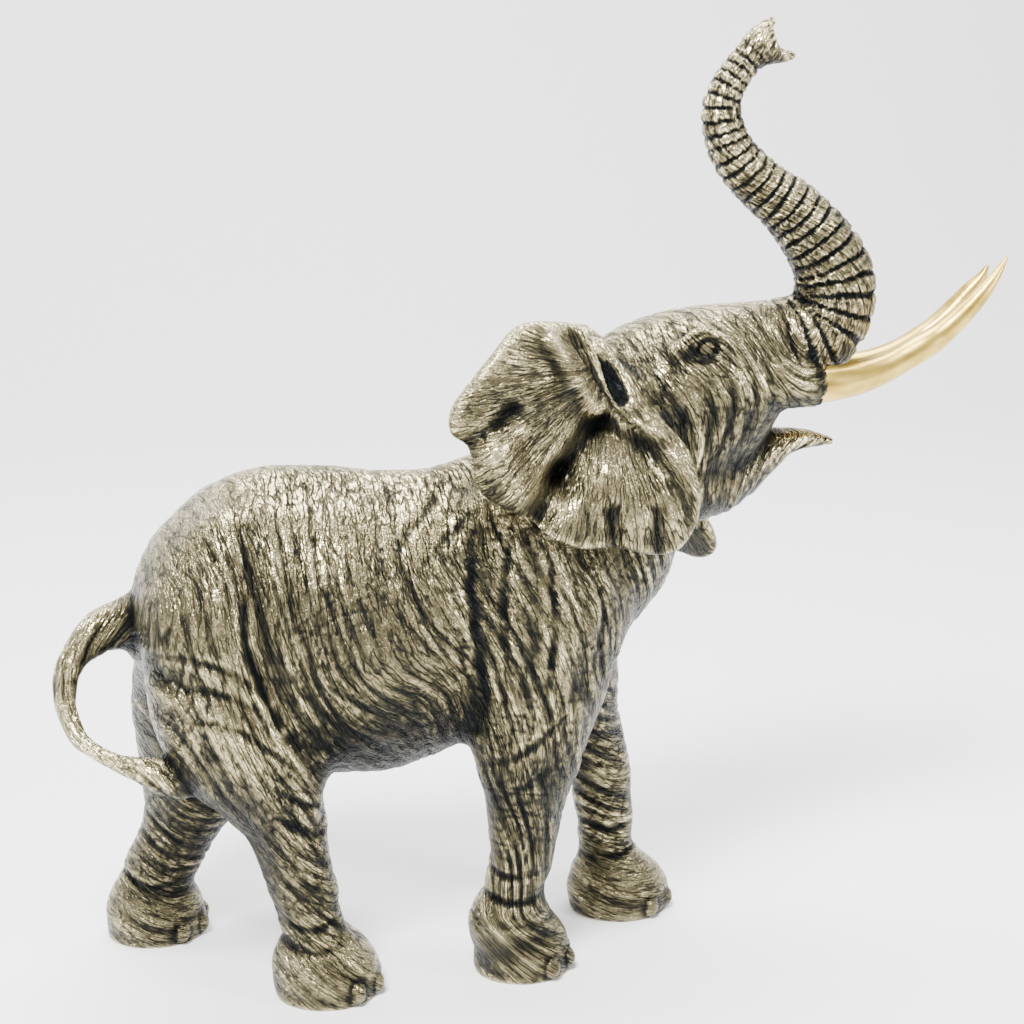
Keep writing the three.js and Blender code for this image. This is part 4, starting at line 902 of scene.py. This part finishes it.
# Painted shade: a dark band on the sheath just inside the mouth of each tusk's socket.
for rows in TUSKS.values():
    lip, second = np.array(rows[1][:3]), np.array(rows[2][:3])
    ahead = (verts - lip) @ ((second - lip) / np.linalg.norm(second - lip))
    beside_lip = np.linalg.norm(verts - lip, axis=1) < 4.2
    patina_and_painted_light[beside_lip] += (0.45 * np.exp(-((ahead + 0.7) / 0.5) ** 2))[beside_lip]
# Painted shade: the eye sockets are at least this dark.
patina_and_painted_light = np.maximum(np.clip(patina_and_painted_light, 0, 1), EYE_SOCKET_PAINTED_SHADE * (1 - eye_clear))
patina_and_painted_light = patina_and_painted_light * (1 - on_ball) + BALL_SHADE * on_ball
patina_and_painted_light = patina_and_painted_light * (1 - on_nail) + NAIL_SHADE * on_nail
print("hollow sizes", [round(float(np.percentile(np.abs(h), 85)), 4) for h in hollows])

# %% [markdown]
# ## The casting as a mesh
#
# The real piece is one casting, so it is one mesh. It carries the patina with its painted light
# and shade, and the skin's coordinates, as attributes, and is thinned where the surface is flat.

# %% The casting as a mesh
SHIFT = np.array([-0.00964, -0.00656, 0.0])  # from the tables' middle plane to the frame's origin


def mesh_object(name, points, faces):
    mesh = bpy.data.meshes.new(name)
    mesh.from_pydata(points.tolist(), [], faces.tolist())
    mesh.validate()
    obj = bpy.data.objects.new(name, mesh)
    bpy.context.scene.collection.objects.link(obj)
    return obj


def set_attribute(mesh, name, values):
    kind = "FLOAT" if values.ndim == 1 else "FLOAT_VECTOR"
    attribute = mesh.attributes.new(name, kind, "POINT")
    attribute.data.foreach_set("value" if values.ndim == 1 else "vector", values.astype(np.float32).ravel())


def solved_mesh(obj):
    """A new mesh, as the object's modifiers leave it."""
    graph = bpy.context.evaluated_depsgraph_get()
    solved = obj.evaluated_get(graph)
    return bpy.data.meshes.new_from_object(solved, preserve_all_data_layers=True, depsgraph=graph)


body = mesh_object("elephant_casting", verts * PART + SHIFT, quads)
set_attribute(body.data, "patina_and_painted_light", patina_and_painted_light)
set_attribute(body.data, "skin", np.column_stack([across, length, beside]))
triangles = 2 * len(quads)
if triangles > FACES:
    thin = body.modifiers.new("thin", "DECIMATE")
    thin.ratio = FACES / triangles
    thinned = solved_mesh(body)
    body.modifiers.clear()
    body.data = thinned
body.data.shade_smooth()
print("casting", sum(len(p.vertices) - 2 for p in body.data.polygons), "triangles")

# %% [markdown]
# ## Tusks by geometry nodes
#
# A tusk is a sweep along its curve. The tree draws the curve's own radius with a round
# profile, closes the ends and sets the material.

# %% Sweep tree
SWEEP_INPUTS = [("Geometry", "Geometry"), ("Sections", "Int"), ("Sides", "Int"), ("Material", "Material")]


def sweep_tree():
    """The sweep's node tree, and the identifier of each of its named inputs."""
    tree = bpy.data.node_groups.new("tusk_sweep", "GeometryNodeTree")
    named = {}
    for name, kind in SWEEP_INPUTS:
        socket = tree.interface.new_socket(name, in_out="INPUT", socket_type="NodeSocket" + kind)
        named[name] = socket.identifier
    tree.interface.new_socket("Geometry", in_out="OUTPUT", socket_type="NodeSocketGeometry")
    nodes, links = tree.nodes, tree.links
    entry, exit_ = nodes.new("NodeGroupInput"), nodes.new("NodeGroupOutput")
    resample = nodes.new("GeometryNodeResampleCurve")
    profile = nodes.new("GeometryNodeCurvePrimitiveCircle")
    profile.inputs["Radius"].default_value = 1.0
    sweep = nodes.new("GeometryNodeCurveToMesh")
    sweep.inputs["Fill Caps"].default_value = True
    radius = nodes.new("GeometryNodeInputRadius")
    real = nodes.new("GeometryNodeRealizeInstances")
    paint = nodes.new("GeometryNodeSetMaterial")
    for output, entrance in (
        (entry.outputs["Geometry"], resample.inputs["Curve"]),
        (entry.outputs["Sections"], resample.inputs["Count"]),
        (entry.outputs["Sides"], profile.inputs["Resolution"]),
        (resample.outputs["Curve"], sweep.inputs["Curve"]),
        (profile.outputs["Curve"], sweep.inputs["Profile Curve"]),
        (radius.outputs["Radius"], sweep.inputs["Scale"]),
        (sweep.outputs["Mesh"], real.inputs["Geometry"]),
        (real.outputs["Geometry"], paint.inputs["Geometry"]),
        (entry.outputs["Material"], paint.inputs["Material"]),
        (paint.outputs["Geometry"], exit_.inputs[0]),
    ):
        links.new(output, entrance)
    return tree, named


# %% [markdown]
# ## Nodes for the finishes
#
# A finish is a graph of nodes. The bench adds a node and links what goes into it.

# %% Shader helpers
class Bench:
    """Adds nodes to a tree; a value is a number or the output of another node."""

    def __init__(self, tree):
        self.nodes, self.links = tree.nodes, tree.links

    def put(self, node, values):
        for key, value in values.items():
            if isinstance(value, bpy.types.NodeSocket):
                self.links.new(value, node.inputs[key])
            else:
                node.inputs[key].default_value = value

    def add(self, kind, **values):
        node = self.nodes.new("ShaderNode" + kind)
        self.put(node, values)
        return node.outputs[0]

    def math(self, operation, *values, clamp=False):
        node = self.nodes.new("ShaderNodeMath")
        node.operation, node.use_clamp = operation, clamp
        self.put(node, dict(enumerate(values)))
        return node.outputs[0]

    def colours(self, value, stops):
        """A colour from a value, by a ramp of (position, colour)."""
        node = self.nodes.new("ShaderNodeValToRGB")
        self.links.new(value, node.inputs[0])
        elements = node.color_ramp.elements
        for element, (position, colour) in zip(elements, (stops[0], stops[-1])):
            element.position, element.color = position, (*colour, 1)
        for position, colour in stops[1:-1]:
            elements.new(position).color = (*colour, 1)
        return node.outputs[0]


def new_material(name, values):
    """A material with these values on its shader, and a bench for its nodes."""
    material = bpy.data.materials.new(name)
    material.use_nodes = True
    bench = Bench(material.node_tree)
    bench.put(bench.nodes["Principled BSDF"], values)
    return material, bench


# %% [markdown]
# ## Materials
#
# The patina goes from near black in the hollows through a warm brown to a pale worn metal on
# the ridges, and the value that drives it also carries painted light and shade. The finest
# wrinkles are bump only, in the same skin coordinates.

# %% Patina and gilt
WRINKLES = [(2.0, 0.12, 0.06), (4.2, 0.15, 0.07), (1.6, 1.5, 0.022)]  # scale, stretch and groove width
PATINA = [
    (0.12, (0.62, 0.54, 0.32)), (0.28, (0.23, 0.197, 0.107)), (0.42, (0.064, 0.056, 0.03)),
    (0.56, (0.017, 0.0165, 0.012)), (0.78, (0.003, 0.004, 0.0045)),
]
GILT = [(0.3, (0.35, 0.23, 0.035)), (0.62, (0.70, 0.50, 0.12))]
BUMP_HEIGHT = 0.0005


def patina_material():
    material, bench = new_material("patina", {"Metallic": 0.92})
    patina_and_painted_light_node, skin = bench.nodes.new("ShaderNodeAttribute"), bench.nodes.new("ShaderNodeAttribute")
    patina_and_painted_light_node.attribute_name, skin.attribute_name = "patina_and_painted_light", "skin"
    place = bench.nodes.new("ShaderNodeTexCoord").outputs["Object"]
    lines = []
    for scale, stretch, width in WRINKLES:
        size = (scale, scale * stretch, scale * 0.5)
        stretched = bench.add("Mapping", Vector=skin.outputs["Vector"], Scale=size)
        texture = bench.add("TexNoise", Vector=stretched, Scale=1.0, Detail=1.5)
        away = bench.math("ABSOLUTE", bench.math("SUBTRACT", texture, 0.5))
        lines.append(bench.math("SUBTRACT", 1.0, bench.math("DIVIDE", away, width, clamp=True)))
    carved = bench.math("MULTIPLY_ADD", lines[1], 0.6, bench.math("MULTIPLY_ADD", lines[2], 0.35, lines[0]))
    grain = bench.add("TexNoise", Vector=place, Scale=900.0, Detail=2.0)
    height = bench.math("MULTIPLY_ADD", grain, 0.5, bench.math("MULTIPLY", carved, -1.0))
    blotch = bench.add("TexNoise", Vector=place, Scale=30.0, Detail=4.0)
    # The tone is the attribute's patina with its painted light and shade, darkened in the fine wrinkles.
    tone = bench.math("MULTIPLY_ADD", carved, 0.2, patina_and_painted_light_node.outputs["Fac"])
    tone = bench.math("MULTIPLY_ADD", blotch, 0.3, tone)
    tone = bench.math("SUBTRACT", tone, 0.24, clamp=True)
    bench.put(bench.nodes["Principled BSDF"], {
        "Normal": bench.add("Bump", Height=height, Strength=0.85, Distance=BUMP_HEIGHT),
        "Base Color": bench.colours(tone, PATINA),
        "Roughness": bench.math("MULTIPLY_ADD", tone, 0.34, 0.17),
    })
    return material


def gilt_material():
    material, bench = new_material("gilt", {"Metallic": 0.9, "Roughness": 0.33})
    place = bench.nodes.new("ShaderNodeTexCoord").outputs["Object"]
    streaks = bench.add("Mapping", Vector=place, Scale=(60, 260, 160))
    wear = bench.add("TexNoise", Vector=streaks, Scale=1.0, Detail=3.0)
    bench.put(bench.nodes["Principled BSDF"], {
        "Normal": bench.add("Bump", Height=wear, Strength=0.6, Distance=BUMP_HEIGHT),
        "Base Color": bench.colours(wear, GILT),
    })
    return material


patina, gilt = patina_material(), gilt_material()
body.data.materials.clear()
body.data.materials.append(patina)

# %% [markdown]
# ## The tusks
#
# Each tusk of the real piece is a separate gilt rod, glued into the socket of its sheath. The
# curve of its stations goes through the sweep tree, and the mesh that comes out is kept.

# %% Tusk pieces
tree, sockets = sweep_tree()
for name, rows in TUSKS.items():
    curve = bpy.data.curves.new(name + "_line", "CURVE")
    curve.dimensions = "3D"
    line = curve.splines.new("POLY")
    points = spline(rows, 6)
    line.points.add(len(points) - 1)
    for point, (px, py, pz, pr) in zip(line.points, points):
        point.co = (*(np.array([px, py, pz]) * PART + SHIFT), 1)
        point.radius = max(pr, 0.12) * PART
    guide = bpy.data.objects.new(name + "_line", curve)
    bpy.context.scene.collection.objects.link(guide)
    modifier = guide.modifiers.new("sweep", "NODES")
    modifier.node_group = tree
    modifier[sockets["Sections"]] = 90
    modifier[sockets["Sides"]] = 36
    modifier[sockets["Material"]] = gilt
    mesh = solved_mesh(guide)
    bpy.data.objects.remove(guide)
    mesh.name = name + "_gilt"
    piece = bpy.data.objects.new(name + "_gilt", mesh)
    bpy.context.scene.collection.objects.link(piece)
    mesh.shade_smooth()
    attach(piece, "root")
    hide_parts(name)
    print(name, len(mesh.polygons), "faces, materials", [m.name for m in mesh.materials])
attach(body, "root")
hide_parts("elephant_body")

# %% [markdown]
# ## Floor, light and camera
#
# The figurine stands on a plain pale ground in soft studio light.

# %% Studio
sweep_points, sweep_faces = [], []
profile_line = [(-8.0, 0.0)] + [(0.9 + 0.6 * math.sin(t), 0.6 - 0.6 * math.cos(t))
                                for t in np.linspace(0, math.pi / 2, 13)] + [(1.5, 2.6)]
for i, (depth_y, level) in enumerate(profile_line):
    sweep_points += [(-6.0, depth_y, level), (6.0, depth_y, level)]
    if i:
        sweep_faces.append((2 * i - 2, 2 * i - 1, 2 * i + 1, 2 * i))
floor = mesh_object("floor", np.array(sweep_points), np.array(sweep_faces))
floor.data.shade_smooth()
white = {"Base Color": (0.9, 0.9, 0.9, 1), "Roughness": 0.9}
floor.data.materials.append(new_material("floor_white", white)[0])


def area_light(name, at, size, power, aim=(0, 0, 0.15)):
    data = bpy.data.lights.new(name, "AREA")
    data.shape = "RECTANGLE"
    data.size, data.size_y = size
    data.energy = power
    light = bpy.data.objects.new(name, data)
    light.location = at
    light.rotation_euler = (Vector(aim) - Vector(at)).to_track_quat("-Z", "Y").to_euler()
    bpy.context.scene.collection.objects.link(light)


area_light("key", (-0.35, -0.8, 1.15), (0.4, 0.4), 72, aim=(-0.02, 0, 0.17))
area_light("side", (0.9, -0.7, 0.5), (0.25, 0.7), 12)
area_light("top", (0.0, 0.25, 1.3), (0.9, 0.5), 30)
area_light("backdrop", (0, 0.75, 1.7), (2.4, 0.3), 30, aim=(0, 1.5, 0.5))
world = bpy.data.worlds.new("studio")
world.use_nodes = True
bench = Bench(world.node_tree)
seen = bench.nodes.new("ShaderNodeLightPath").outputs["Is Camera Ray"]
bench.put(bench.nodes["Background"], {
    "Color": (1, 1, 1, 1), "Strength": bench.math("MULTIPLY_ADD", seen, 0.7, 0.22),
})
bpy.context.scene.world = world

CAMERA_DISTANCE = 0.6574
camera_data = bpy.data.cameras.new("camera")
camera_data.sensor_width = 36
camera_data.lens = 75.4
camera_data.clip_start = 0.01
camera = bpy.data.objects.new("camera", camera_data)
azimuth, elevation = math.radians(-9), math.radians(13)
target = np.array([-0.00964, -0.02679, 0.15172])
back = np.array([math.sin(azimuth) * math.cos(elevation), -math.cos(azimuth) * math.cos(elevation),
                 math.sin(elevation)])
camera.location = target + CAMERA_DISTANCE * back
camera.rotation_euler = (math.radians(90) - elevation, 0, azimuth)
bpy.context.scene.collection.objects.link(camera)
bpy.context.scene.camera = camera
